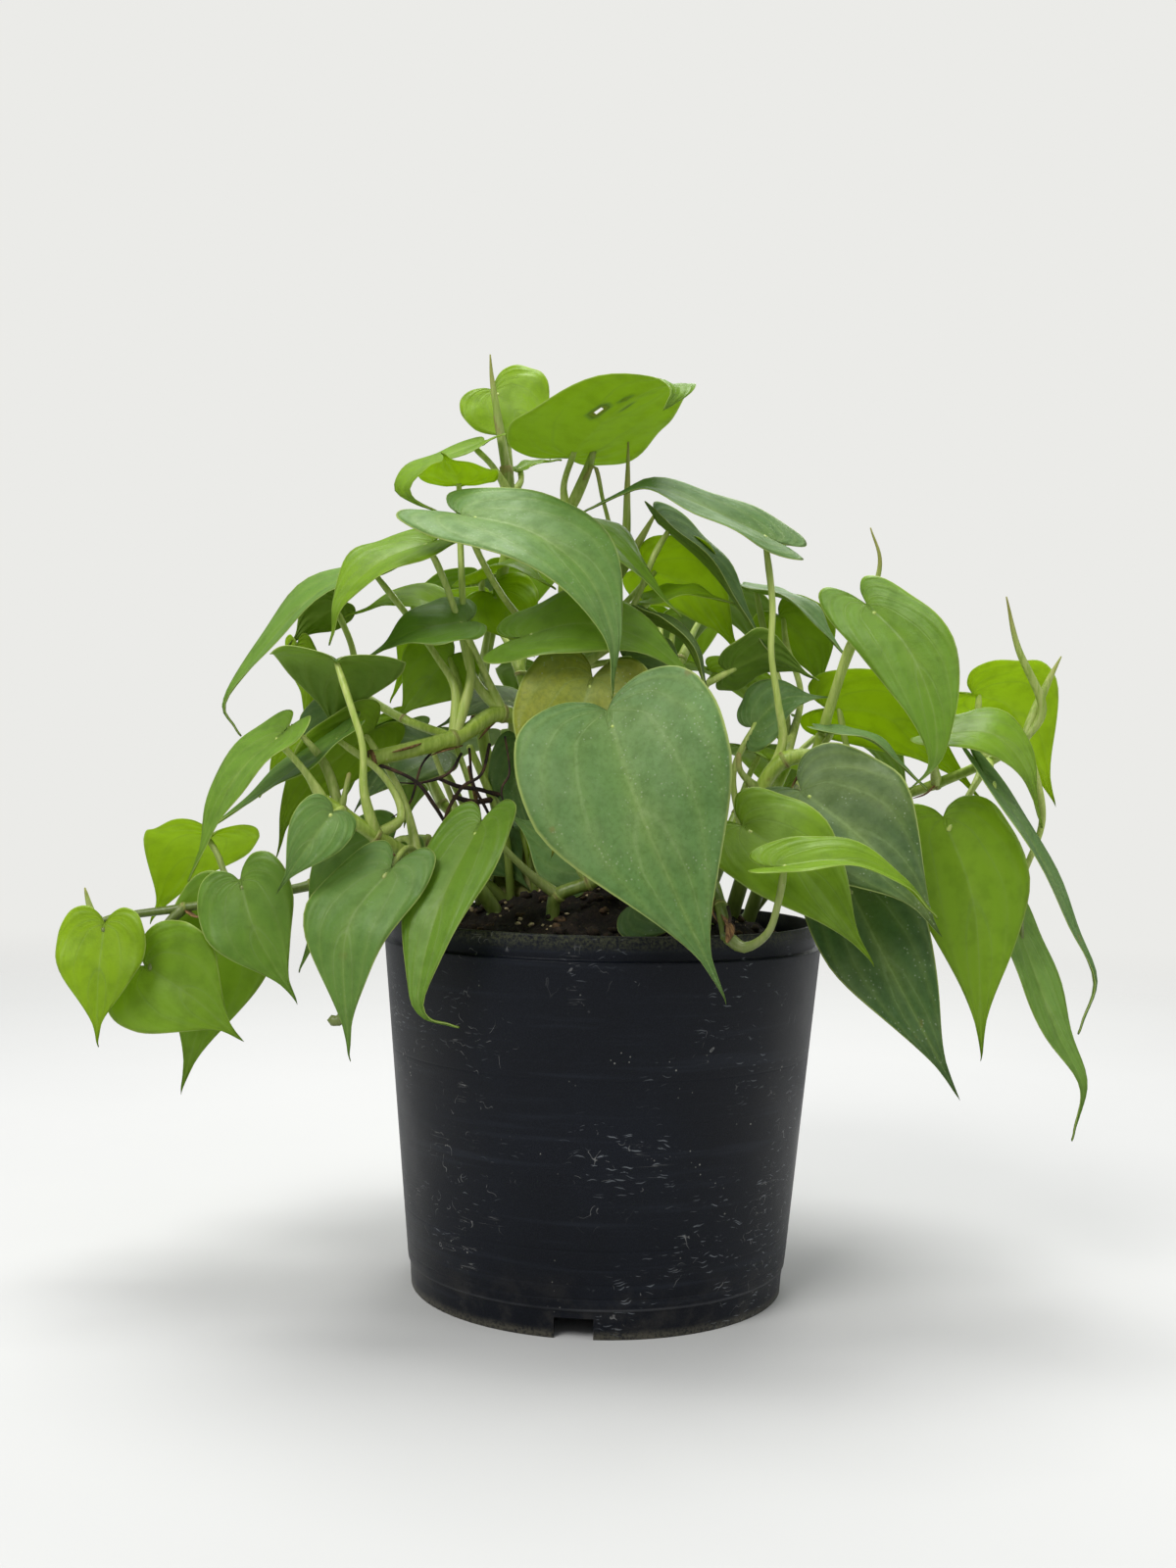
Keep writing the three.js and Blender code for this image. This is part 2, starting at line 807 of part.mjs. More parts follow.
const RIGHT_CUT = {
  name: "vine_right_cut",
  stems: [
    {
      root: [50, -6],
      radius: 3.1,
      end: 2.9,
      path: [[57, 168, -14], [61, 192, -22], [70, 205, -25], [86, 207, -26]],
    },
  ],
  spikes: [{ on: [0, 1], radius: 2.4, end: 1.2, path: [[53, 200, -28], [52, 207, -29]] }],
  leaves: [
    {
      on: [0, 1],
      stalk: [[69, 211, -24], [67, 228, -28], [64, 247, -28], [64, 267, -27]],
      rib: [[65, 291, -26], [41, 302, -28], [17, 311, -24], [5, 309, -20], [-9, 302, -18]],
      width: 40,
      face: [0, -0.45, 0.9],
    },
    {
      on: [0, 2],
      stalk: [[70, 226, 0], [62, 252, 12]],
      rib: [[55, 272, 14], [73, 267, 2], [93, 247, -6]],
      width: 38,
      face: [0.4, -0.3, 0.85],
    },
    {
      on: [0, 2],
      stalk: [[76, 230, 4], [70, 250, 16]],
      rib: [[67, 262, 22], [80, 250, 20], [84, 232, 20]],
      width: 32,
      face: [0.2, 0.7, 0.6],
    },
    {
      on: [0, 0],
      stalk: [[50, 198, -10]],
      rib: [[57, 218, -8], [69, 229, -13], [84, 230, -15]],
      width: 28,
      face: [-0.1, -0.85, 0.5],
    },
  ],
};

const RIGHT = {
  name: "vine_right",
  stems: [
    {
      root: [58, 10],
      radius: 2.9,
      end: 2.5,
      path: [[66, 168, 4], [76, 190, -8], [82, 206, -12], [85, 215, -14]],
    },
  ],
  spikes: [
    { on: [0, 3], radius: 2, path: [[92, 240, -12], [101, 264, -16], [106, 283, -17], [102, 297, -17]] },
  ],
  leaves: [
    {
      on: [0, 3],
      stalk: [[88, 229, -20], [95, 252, -26]],
      rib: [
        [101, 267, -34],
        [117, 251, -44],
        [127, 230, -50],
        [130, 212, -52],
        [128, 203, -52],
        [120, 195, -52],
      ],
      width: 35,
      face: [-0.35, -0.8, 0.45],
    },
    {
      on: [0, 2],
      rib: [[86, 217, -24], [104, 214, -30], [124, 197, -34]],
      width: 20,
      face: [0.1, -0.2, 1],
    },
    {
      on: [0, 1],
      stalk: [[76, 196, -24]],
      rib: [[77, 193, -42], [101, 175, -58], [121, 155, -67], [131, 140, -69]],
      width: 58,
      face: [-0.2, -0.8, 0.55],
    },
    {
      on: [0, 0],
      stalk: [[82, 172, -18]],
      rib: [[95, 158, -38], [116, 119, -54], [140, 76, -56]],
      width: 43,
      face: [0, -0.95, 0.3],
    },
  ],
};

const FRONT_RIGHT = {
  name: "vine_front_right",
  stems: [
    {
      root: [36, -50],
      radius: 2.4,
      end: 2.1,
      path: [[42, 156, -58], [46, 147, -76], [49, 135, -85]],
    },
  ],
  leaves: [
    {
      on: [0, 0],
      stalk: [[46, 170, -64]],
      rib: [[54, 179, -70], [78, 162, -78], [105, 128, -80]],
      width: 40,
      face: [-0.15, -0.9, 0.4],
    },
    {
      on: [0, 2],
      stalk: [[56, 131, -88], [65, 137, -92], [69, 150, -94]],
      rib: [[67, 163, -95], [94, 166, -95], [117, 158, -95], [129, 147, -94]],
      width: 24,
      face: [0.05, -0.35, 0.93],
      fold: 30,
    },
  ],
};

const FAR_RIGHT = {
  name: "vine_far_right",
  stems: [
    {
      root: [60, 34],
      radius: 2.7,
      end: 1.8,
      path: [[84, 176, 18], [106, 188, 4], [130, 197, -10], [150, 206, -20], [164, 214, -24]],
    },
  ],
  spikes: [
    { on: [0, 4], radius: 2, path: [[171, 228, -24], [161, 251, -26], [156, 271, -28]] },
    { on: [0, 4], radius: 2.3, path: [[168, 226, -20], [174, 240, -18], [178, 248, -18]] },
  ],
  leaves: [
    {
      on: [0, 3],
      stalk: [[143, 193, -28]],
      rib: [[133, 184, -32], [146, 148, -35], [150, 92, -35]],
      width: 47,
      face: [-0.05, -0.95, 0.35],
      lobe: 0.5,
    },
    {
      on: [0, 1],
      stalk: [[96, 206, 10]],
      rib: [[87, 226, 14], [108, 224, 4], [128, 211, -8], [147, 192, -16]],
      width: 42,
      face: [0.3, 0.7, 0.65],
    },
    {
      on: [0, 3],
      stalk: [[146, 220, -10]],
      rib: [[143, 233, -2], [160, 226, 8], [176, 192, 12]],
      width: 46,
      face: [0.1, 0.9, 0.4],
    },
    {
      on: [0, 2],
      stalk: [[129, 209, -26]],
      rib: [[132, 217, -36], [152, 217, -42], [165, 203, -44], [171, 184, -44]],
      width: 32,
      face: [0.2, -0.65, 0.7],
    },
    {
      on: [0, 3],
      rib: [[149, 201, -40], [166, 178, -50], [184, 143, -54], [194, 121, -55], [189, 103, -55]],
      width: 22,
      face: [0.7, -0.45, 0.55],
    },
    {
      on: [0, 4],
      stalk: [[172, 185, -12], [164, 158, -16]],
      rib: [[163, 142, -22], [179, 101, -30], [190, 79, -32], [187, 61, -32]],
      width: 23,
      face: [0.5, -0.75, 0.45],
    },
  ],
};

const SEEN_VINES = [
  LEFT_LOW,
  FAR_LEFT,
  CUT_STEM,
  TOP_LEFT,
  TOP_CENTRE,
  CENTRE,
  FRONT,
  RIGHT_CUT,
  RIGHT,
  FRONT_RIGHT,
  FAR_RIGHT,
];

// The back and sides: each vine is given by its bearing round the pot, how far it reaches,
// and the heights of its first and last nodes
const BACK_VINES = [
  { bearing: 34, reach: 96, base: 158, height: 193, size: 50, seed: 20 },
  { bearing: 64, reach: 70, base: 190, height: 250, size: 54, seed: 18 },
  { bearing: 94, reach: 99, base: 158, height: 206, size: 54, seed: 49 },
  { bearing: 124, reach: 69, base: 192, height: 260, size: 54, seed: 57 },
  { bearing: 154, reach: 101, base: 158, height: 196, size: 50, seed: 56 },
];
const BACK_ROOT_RADIUS = 50;
const BACK_FIRST_NODE = 52;
const BACK_LEAVES = 4;
const BACK_SWAY = 4;
const BACK_TURN = 30;
const BACK_TURN_LOSS = 16;
const BACK_PETIOLE = 20;
const BACK_PETIOLE_RISE = 34;
const BACK_RISE_LOSS = 22;

function seededRandom(seed) {
  let state = seed;
  return () => {
    state = (state * 16807) % 2147483647;
    return state / 2147483647;
  };
}

// A point at a distance out from the pot's axis, a distance to the left of that, and a height
function around(bearing, out, left, up) {
  const angle = THREE.MathUtils.degToRad(bearing);
  const x = Math.cos(angle) * out - Math.sin(angle) * left;
  const y = Math.sin(angle) * out + Math.cos(angle) * left;
  return new THREE.Vector3(x, y, up);
}

// One vine of the back: its leaves stand to the left and right of it by turns, lower leaves wider,
// and each droops from the top of a rising petiole
function backVine({ bearing, reach, base, height, size, seed }, index) {
  const random = seededRandom(seed * 1013);
  const nodes = Array.from({ length: BACK_LEAVES }, (_, i) => (i + 0.4) / (BACK_LEAVES - 0.6));
  const path = nodes.map((share, i) => {
    const out = THREE.MathUtils.lerp(BACK_FIRST_NODE, reach, share);
    const up = base + (height - base) * Math.sin(share * 1.9);
    return around(bearing, out, i % 2 ? BACK_SWAY : -BACK_SWAY, up);
  });
  const root = around(bearing, BACK_ROOT_RADIUS, 0, 0);
  const leaves = path.map((node, i) => {
    const side = i % 2 ? 1 : -1;
    const turn = bearing + side * (BACK_TURN - BACK_TURN_LOSS * nodes[i]) + 10 * (random() - 0.5);
    const length = size * (0.85 + 0.35 * random());
    const rise = BACK_PETIOLE_RISE - BACK_RISE_LOSS * nodes[i] + 14 * random();
    const step = (away, lift) => around(turn, away, 0, lift).add(node);
    const outward = around(turn, 0.5, 0, 0.8);
    return {
      on: [0, i],
      stalk: [step(BACK_PETIOLE / 2, rise * 0.55)],
      rib: [
        step(BACK_PETIOLE, rise),
        step(BACK_PETIOLE + length * 0.45, rise - length * 0.16),
        step(BACK_PETIOLE + length * 0.78, rise - length * 0.62),
      ],
      width: length * 0.82,
      face: outward.toArray(),
      phase: random(),
    };
  });
  const stem = { root: [root.x, root.y], radius: 2.7, end: 1.8, path };
  return { name: `vine_back_${index + 1}`, stems: [stem], leaves };
}

// A box or a round bar with its middle at a distance from the axis and at a bearing
function cutter(geometry, distance, height, degrees) {
  geometry.translate(distance, 0, height).rotateZ(THREE.MathUtils.degToRad(degrees));
  return solidOf(geometry);
}

// The pot is turned from its section: from the axis along the underside, up the outside,
// over the rim and down the inside. Its foot is notched and its floor has drain holes.
function potSolid() {
  const collar = RIM_RADIUS - COLLAR_INSET;
  const floor = FLOOR_UNDERSIDE + WALL;
  const section = [
    [0, 0],
    [CENTRE_PAD_RADIUS, 0],
    [CENTRE_PAD_RADIUS + 2, FLOOR_UNDERSIDE],
    [FOOT_RADIUS - 2.9, FLOOR_UNDERSIDE],
    [FOOT_RADIUS - WALL, 0],
    [FOOT_RADIUS, 0],
    [FOOT_RADIUS + 0.7, FOOT_HEIGHT],
    [BASE_RADIUS, FOOT_HEIGHT + EDGE],
    [RIM_RADIUS, LEDGE_HEIGHT - EDGE],
    [RIM_RADIUS, LEDGE_HEIGHT],
    [collar, LEDGE_HEIGHT + EDGE],
    [collar, POT_HEIGHT - EDGE],
    [collar - EDGE, POT_HEIGHT],
    [collar - WALL, POT_HEIGHT],
    [collar - WALL, LEDGE_HEIGHT + WALL],
    [RIM_RADIUS - WALL, LEDGE_HEIGHT - WALL],
    [BASE_RADIUS - WALL + 0.2, FOOT_HEIGHT + 2],
    [FOOT_RADIUS - 0.8, FOOT_HEIGHT + 1.7],
    [FOOT_RADIUS - 2.2, floor],
    [CENTRE_PAD_RADIUS + 1, floor],
    [CENTRE_PAD_RADIUS - 1, WALL],
    [0, WALL],
  ];
  const points = section.map(([r, z]) => new THREE.Vector2(r, z));
  let solid = solidOf(new THREE.LatheGeometry(points, POT_SEGMENTS).rotateX(Math.PI / 2));
  for (let i = 0; i < NOTCHES; i += 1) {
    const degrees = FIRST_NOTCH_DEGREES + (360 / NOTCHES) * i;
    const notch = new THREE.BoxGeometry(12, NOTCH_WIDTH, NOTCH_HEIGHT * 2);
    solid = solid.subtract(cutter(notch, FOOT_RADIUS, 0, degrees));
  }
  for (let i = 0; i < DRAIN_HOLES; i += 1) {
    const degrees = FIRST_NOTCH_DEGREES + (360 / DRAIN_HOLES) * (i + 0.5);
    const hole = new THREE.CylinderGeometry(DRAIN_HOLE_RADIUS, DRAIN_HOLE_RADIUS, 8, 10);
    hole.rotateX(Math.PI / 2);
    solid = solid.subtract(cutter(hole, DRAIN_CIRCLE_RADIUS, floor, degrees));
  }
  return solid;
}

// The soil fills the pot, clear of its wall, and has a plain hole round each stem
function soilSolid(vines) {
  const floor = FLOOR_UNDERSIDE + WALL + SOIL_GAP;
  const section = [
    [0, WALL + SOIL_GAP],
    [CENTRE_PAD_RADIUS - 1.4, WALL + SOIL_GAP],
    [CENTRE_PAD_RADIUS + 0.6, floor],
    [FOOT_RADIUS - 2.3, floor],
    [FOOT_RADIUS - 1, FOOT_HEIGHT + 2.1],
    [BASE_RADIUS - WALL - 0.6, FOOT_HEIGHT + 2.6],
    ...SOIL_RINGS.map((r) => [r, soilHeight(r, 0)]),
    [0, soilHeight(0, 0)],
  ];
  const points = section.map(([r, z]) => new THREE.Vector2(r, z));
  const body = new THREE.LatheGeometry(points, SOIL_SEGMENTS).rotateX(Math.PI / 2);
  const position = body.attributes.position;
  for (let i = 0; i < position.count; i += 1) {
    if (position.getZ(i) > SOIL_EDGE_HEIGHT - 9) {
      position.setZ(i, soilHeight(position.getX(i), position.getY(i)));
    }
  }
  let solid = solidOf(body);
  const rooted = vines.flatMap((vine) => vine.stems).filter((stem) => stem.root);
  for (const { root, radius } of rooted) {
    const clear = radius + HOLE_GAP;
    const hole = new THREE.CylinderGeometry(clear, clear, HOLE_LENGTH, HOLE_SIDES);
    hole.rotateX(Math.PI / 2);
    hole.translate(root[0], root[1], ROOT_DEPTH_Z - HOLE_GAP + HOLE_LENGTH / 2);
    solid = solid.subtract(solidOf(hole));
  }
  return solid;
}

function material(colour, roughness) {
  return new THREE.MeshStandardMaterial({ color: colour, roughness, metalness: 0 });
}

const POT_BLACK = material(0x17191c, 0.5);
const SOIL_BROWN = material(0x1c130d, 0.95);
const LEAF_GREEN = material(0x4f8a3a, 0.5);

function named(name, solid, finish) {
  const mesh = new THREE.Mesh(geometryOf(solid), finish);
  mesh.name = name;
  return mesh;
}

const vines = [...SEEN_VINES.map(placed), ...BACK_VINES.map(backVine)];
const plant = new THREE.Group();
plant.add(named("pot", potSolid(), POT_BLACK));
plant.add(named("soil", soilSolid(vines), SOIL_BROWN));
for (const vine of vines) plant.add(named(vine.name, vineSolid(vine), LEAF_GREEN));

export default plant;
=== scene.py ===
"""A heartleaf philodendron in a black nursery pot: fine leaves, stems, pot and soil, and their finish."""
import math
import random

import bmesh
import bpy
import numpy as np
from mathutils import Matrix, Vector, noise


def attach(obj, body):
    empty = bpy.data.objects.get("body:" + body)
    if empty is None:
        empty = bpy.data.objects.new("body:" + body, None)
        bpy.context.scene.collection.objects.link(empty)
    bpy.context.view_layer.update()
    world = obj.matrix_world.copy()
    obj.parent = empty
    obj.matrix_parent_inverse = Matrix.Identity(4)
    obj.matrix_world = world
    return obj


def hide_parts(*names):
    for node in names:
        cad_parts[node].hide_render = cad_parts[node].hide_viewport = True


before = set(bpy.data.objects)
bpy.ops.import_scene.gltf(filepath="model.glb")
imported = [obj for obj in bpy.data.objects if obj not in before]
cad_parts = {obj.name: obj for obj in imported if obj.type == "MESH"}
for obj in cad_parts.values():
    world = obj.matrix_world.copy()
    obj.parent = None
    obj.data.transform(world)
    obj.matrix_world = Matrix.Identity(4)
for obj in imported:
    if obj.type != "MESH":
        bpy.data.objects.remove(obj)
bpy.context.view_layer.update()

MM = 0.001

# The camera stands level in front of the plant, with a slight roll. It also sets how places are written.
EYE = np.array([-7.0, -636.0, 194.0])
CAMERA_ROLL_DEGREES = 1.2
FOCAL_PIXELS = 1650
LONG_SIDE_PIXELS = 1600
SENSOR_MM = 36

# The pot, in millimetres
RIM_RADIUS = 85
LEDGE_HEIGHT = 133
POT_HEIGHT = 142
COLLAR_INSET = 2.4
BASE_RADIUS = 73.4
FOOT_RADIUS = 72
FOOT_HEIGHT = 10
WALL = 1.6
FLOOR_UNDERSIDE = 8
CENTRE_PAD_RADIUS = 14.6
NOTCH_WIDTH = 14
NOTCH_HEIGHT = 7.5
NOTCHES = 4
FIRST_NOTCH_DEGREES = -96.5
DRAIN_HOLES = 4
DRAIN_HOLE_RADIUS = 6
DRAIN_CIRCLE_RADIUS = 42

# Faint moulding rings on the wall, as (height, depth), and how finely the pot is made
RING_MARKS = [(14.5, 0.18), (19.5, 0.12), (25, 0.12), (31.5, 0.16), (92, 0.08)]
POT_SEGMENTS = 176
HOLE_SEGMENTS = 32
CORNER_RADIUS = 0.35
CORNER_STEPS = 4
HARD_EDGE_DEGREES = 32

# Nicks in the pot's wall: how many to a metre, how much flatter than long, and how wavy in metres
NICK_SCALE = 110
NICK_FLATNESS = 9
NICK_WAVE = 0.006

# The soil, in millimetres
SOIL_GAP = 0.3
SOIL_EDGE_HEIGHT = 129
SOIL_RADIUS = 84
SOIL_MOUND = 17
SOIL_RELIEF = 1.3
# The height in the soil at which the stems start
ROOT_HEIGHT = 100
# The heap of loose litter: its height, how far it spreads, and how far forward its middle lies
LITTER = 9
LITTER_RADIUS = 46
LITTER_FORWARD = 6
SOIL_SEGMENTS = 150
SOIL_RINGS = 58
# The soil against the pot, from its side to the middle of its underside, as (radius, height)
SOIL_UNDERSIDE = [(71, 13.2), (70.8, 12.6), (69.4, 10.2), (20, 10.2)]
# Crumbs in its surface, as (height, how many to a millimetre, where the pattern is cut), and how far
# from the pot they begin to lie lower
CRUMBS = [(1.6, 0.3, 3), (0.9, 0.9, 9)]
CRUMB_FADE = 3

# Perlite, bark and soil crumbs on top: how many, their least and greatest size, and how long they are
GRIT = [(170, 0.4, 1.2, 1.0), (170, 0.6, 1.9, 1.7), (150, 0.9, 2.8, 1.2)]
# How far they stay from the pot, and how high their middles lie, as a share of their size
GRIT_MARGIN = 3.5
GRIT_RISE = 0.25

# How many points a curve is measured at: a midrib or tube, and a stem with its nodes
CURVE_SAMPLES = 201
STEM_SAMPLES = 401

# Stems, in millimetres. A stem is thicker at a node by a share, over a length, and its ring scar stands out.
SWELLING = 0.15
SWELLING_LENGTH = 2.2
SCAR_SHAPE = [1.13, 1.22, 1.13]
SCAR_LENGTH = 0.9
CUT_SHAPE = [1, 1.12, 1.2, 1.1]
CUT_DEPTH = 1.6
CUT_RISE = 0.9
# A petiole at its foot, further up, and how far below the blade and along it the two are joined
PETIOLE_FOOT_RADIUS = 2.1
PETIOLE_RADIUS = 1.24
JOINT_DEPTH = 0.3
JOINT_PLACE = 0.06
SPIKE_POINT = 0.35
SPIKE_FLATNESS = 0.8

# Leaf blades: thickness at the middle and at the edge, in millimetres
BLADE = 0.56
BLADE_EDGE = 0.22
# Toward the tip a leaf draws in to a slender point: from here on, by this much, and this sharply
TAPER_START = 0.3
TAPER_END = 0.87
TAPER = 0.6
TAPER_POWER = 1.5
# Beyond this outline height the rows of a blade start on its midrib
VEIN_START = 0.21
# The form across: how far a half folds up, how it curves down, how soft its crease is, and how it ripples
FOLD_DEGREES = 14
CAMBER = 0.14
CREASE_SOFTNESS = 0.063
WAVE = 0.05
RIPPLES = 1.6
# The leaves of a vine ripple differently: how far each is along the ripple after the one before it
PHASE_STEP = 0.37
# Relief of the blade: quilting between its veins, small waves at its edge, and a groove at its midrib
QUILT = 0.2
EDGE_WAVE = 0.35
EDGE_WAVES = 5
GROOVE_WIDTH = 1.2
GROOVE_ABOVE = 0.25
GROOVE_BELOW = 0.8
# Side veins on each half, how far they bend toward the tip, and how finely a half is made
VEINS = 6
VEIN_BEND = 0.34
LEAF_ROWS = 44
LEAF_COLUMNS = 12
COLUMN_POWER = 1.25

# The slender end of a leaf's tip: how far it goes on, and how it curls to the side and down
DRIP = 3.5
DRIP_START = 0.8
DRIP_CURL = 0.05
DRIP_CURL_CYCLES = 3.3
DRIP_DROOP = 0.03

# How old the skin looks where a leaf is hurt: in a dot, and at the rim of a hole
DOT_AGE = 1.35
HOLE_RIM_AGE = 1.5

# Half a heart leaf: across from the midrib as a share of half the width,
# and along from the petiole joint as a share of the length
HALF_OUTLINE = [
    (0, 0),
    (0.14, -0.09),
    (0.43, -0.15),
    (0.76, -0.1),
    (0.96, 0.05),
    (1, 0.21),
    (0.9, 0.42),
    (0.68, 0.62),
    (0.38, 0.8),
    (0.14, 0.92),
    (0.05, 0.975),
    (0, 1),
]

# The order of the materials in a piece of stems
STEM, PETIOLE, SPIKE, BROWN, ROOT, SCAR = range(6)

# How the small things on a vine are made, each a tube: its radius at even shares of its length, how many
# sides it has, how long its steps are, and how thick it is one way. A stalk's material stands in its row.
BITS = dict(
    root=dict(shape=[1, 0.9, 1.1, 0.8, 0.3], sides=8, step=1.5, slot=ROOT),
    sheath=dict(shape=[0.6, 1, 0.9, 0.3], sides=12, step=0.8, flat=0.22, slot=BROWN),
    stalk=dict(shape=[0.8, 1, 0.95, 1.1], sides=12, step=1.5),
    hanging=dict(shape=[1.5, 1.4, 1.4, 1.3, 1.2, 1.1, 2.0, 1.9], sides=12, step=1.2, slot=PETIOLE),
)


def stem(radius, end, path, **more):
    """A stem and its radius at both ends. It starts at a root in the soil, or on another stem."""
    return dict(kind="stem", radius=radius, end=end, path=path, **more)


def spike(on, radius, path, end=None):
    """A rolled young leaf or a sheath. It ends in a point unless an end radius is given."""
    return dict(kind="spike", on=on, radius=radius, path=path, end=end)


def leaf(on, width, age, face, stalk, rib, **more):
    """A leaf: its width, its age, where it faces, and the points of its petiole and of its midrib.

    Some say how far their lobes reach, how much their tip draws in, how they fold, or have a hole or dots.
    """
    return dict(kind="leaf", on=on, width=width, age=age, face=face, stalk=stalk, rib=rib, **more)


def bit(kind, radius, path, skin=None):
    """An aerial root, a dry sheath, an old stalk, or the hanging end of a young stem, with its knob."""
    return dict(kind=kind, radius=radius, path=path, skin=skin)


# The vines. A point is (across, up, back): where it is seen from the front, in millimetres in the plane
# of the pot's axis, and how far it lies behind that plane. What grows on a stem names the stem's number
# and a point of its path. An age runs from 0, a lime young leaf, to 1, an old dusty one, and past that
# to a yellowing one. A stem marked cut was cut across at its end.
LEFT_LOW = [
    stem(3.1, 2.4, [(-58, 161, -32), (-73, 163, -42), (-90, 172, -52), (-104, 181, -58), (-111, 185, -60)],
         root=(-42, -22)),
    spike((0, 3), 2.2, [(-111, 200, -54), (-124, 215, -52)]),
    spike((0, 3), 1.6, [(-101, 196, -60)], end=1),
    leaf((0, 4), 32, 0.45, (-0.45, -0.5, 0.75), [(-118, 196, -62)],
         [(-127, 212, -62), (-146, 193, -68), (-162, 156, -74)]),
    leaf((0, 2), 34, 0.6, (-0.3, -0.3, 0.9), [(-80, 180, -46), (-88, 196, -44)],
         [(-103, 212, -44), (-127, 194, -48), (-155, 174, -48)]),
    leaf((0, 1), 32, 0.4, (0.2, 0.5, 0.8), [(-80, 188, -34)],
         [(-92, 214, -30), (-113, 196, -32), (-125, 179, -36), (-128, 166, -38)]),
    leaf((0, 3), 22, 0.65, (0.35, -0.75, 0.5), [(-104, 182, -66)],
         [(-107, 181, -74), (-117, 167, -80), (-127, 151, -80)], lobe=0.6),
    leaf((0, 1), 36, 0.62, (-0.15, -1, 0.25), [(-78, 167, -56)],
         [(-84, 159, -68), (-101, 133, -80), (-99, 87, -82)]),
    leaf((0, 2), 50, 0.72, (0, 0.6, 0.8), [(-95, 189, -58), (-96, 207, -62), (-101, 223, -62)],
         [(-107, 241, -60), (-106, 233, -42), (-107, 212, -28)], lobe=0.6),
    leaf((0, 1), 38, 0.6, (-0.2, -0.8, 0.5), [(-78, 171, -32)],
         [(-84, 170, -24), (-103, 153, -22), (-118, 121, -24)]),
    bit("root", 0.5, [(-73, 163, -42), (-70, 156, -46), (-73, 150, -44)]),
    bit("sheath", 2.0, [(-90, 172, -52), (-86, 167, -56), (-82, 164, -58)]),
    bit("sheath", 1.6, [(-104, 181, -58), (-101, 177, -62), (-98, 174, -63)]),
    bit("hanging", 1, [(-96, 138, -64), (-94, 131, -66), (-95, 121, -66), (-97, 111, -66), (-100, 103, -66),
        (-103, 99, -66), (-106, 99, -66)]),
]

FAR_LEFT = [
    stem(2.8, 1.5, [(-70, 170, 0), (-92, 162, -6), (-115, 152, -9), (-140, 147, -12), (-165, 142, -14),
         (-190, 138, -16), (-199, 135, -18)], root=(-38, 8)),
    spike((0, 6), 1.5, [(-202, 142, -18), (-204, 149, -18)]),
    leaf((0, 3), 50, 0.12, (-0.3, 0.45, 0.85), [(-148, 154, -9), (-152, 163, -6)],
         [(-155, 171, -4), (-162, 161, 14), (-177, 138, 24)]),
    leaf((0, 3), 39, 0.5, (-0.1, -1, 0.2), [(-143, 153, -17)],
         [(-143, 153, -23), (-136, 132, -28), (-121, 108, -26)]),
    leaf((0, 3), 44, 0.4, (0.1, -1, 0.1), [],
         [(-146, 144, -6), (-154, 112, -4), (-164, 72, -6)]),
    leaf((0, 4), 48, 0.35, (-0.1, -1, 0.1), [(-174, 132, -17)],
         [(-180, 119, -21), (-161, 107, -25), (-143, 92, -25)]),
    leaf((0, 6), 35, 0.05, (-0.05, -1, 0.15), [(-198, 137, -22)],
         [(-196, 135, -27), (-198, 113, -31), (-198, 90, -29)]),
    bit("sheath", 1.5, [(-165, 142, -14), (-161, 139, -17), (-157, 138, -18)]),
]

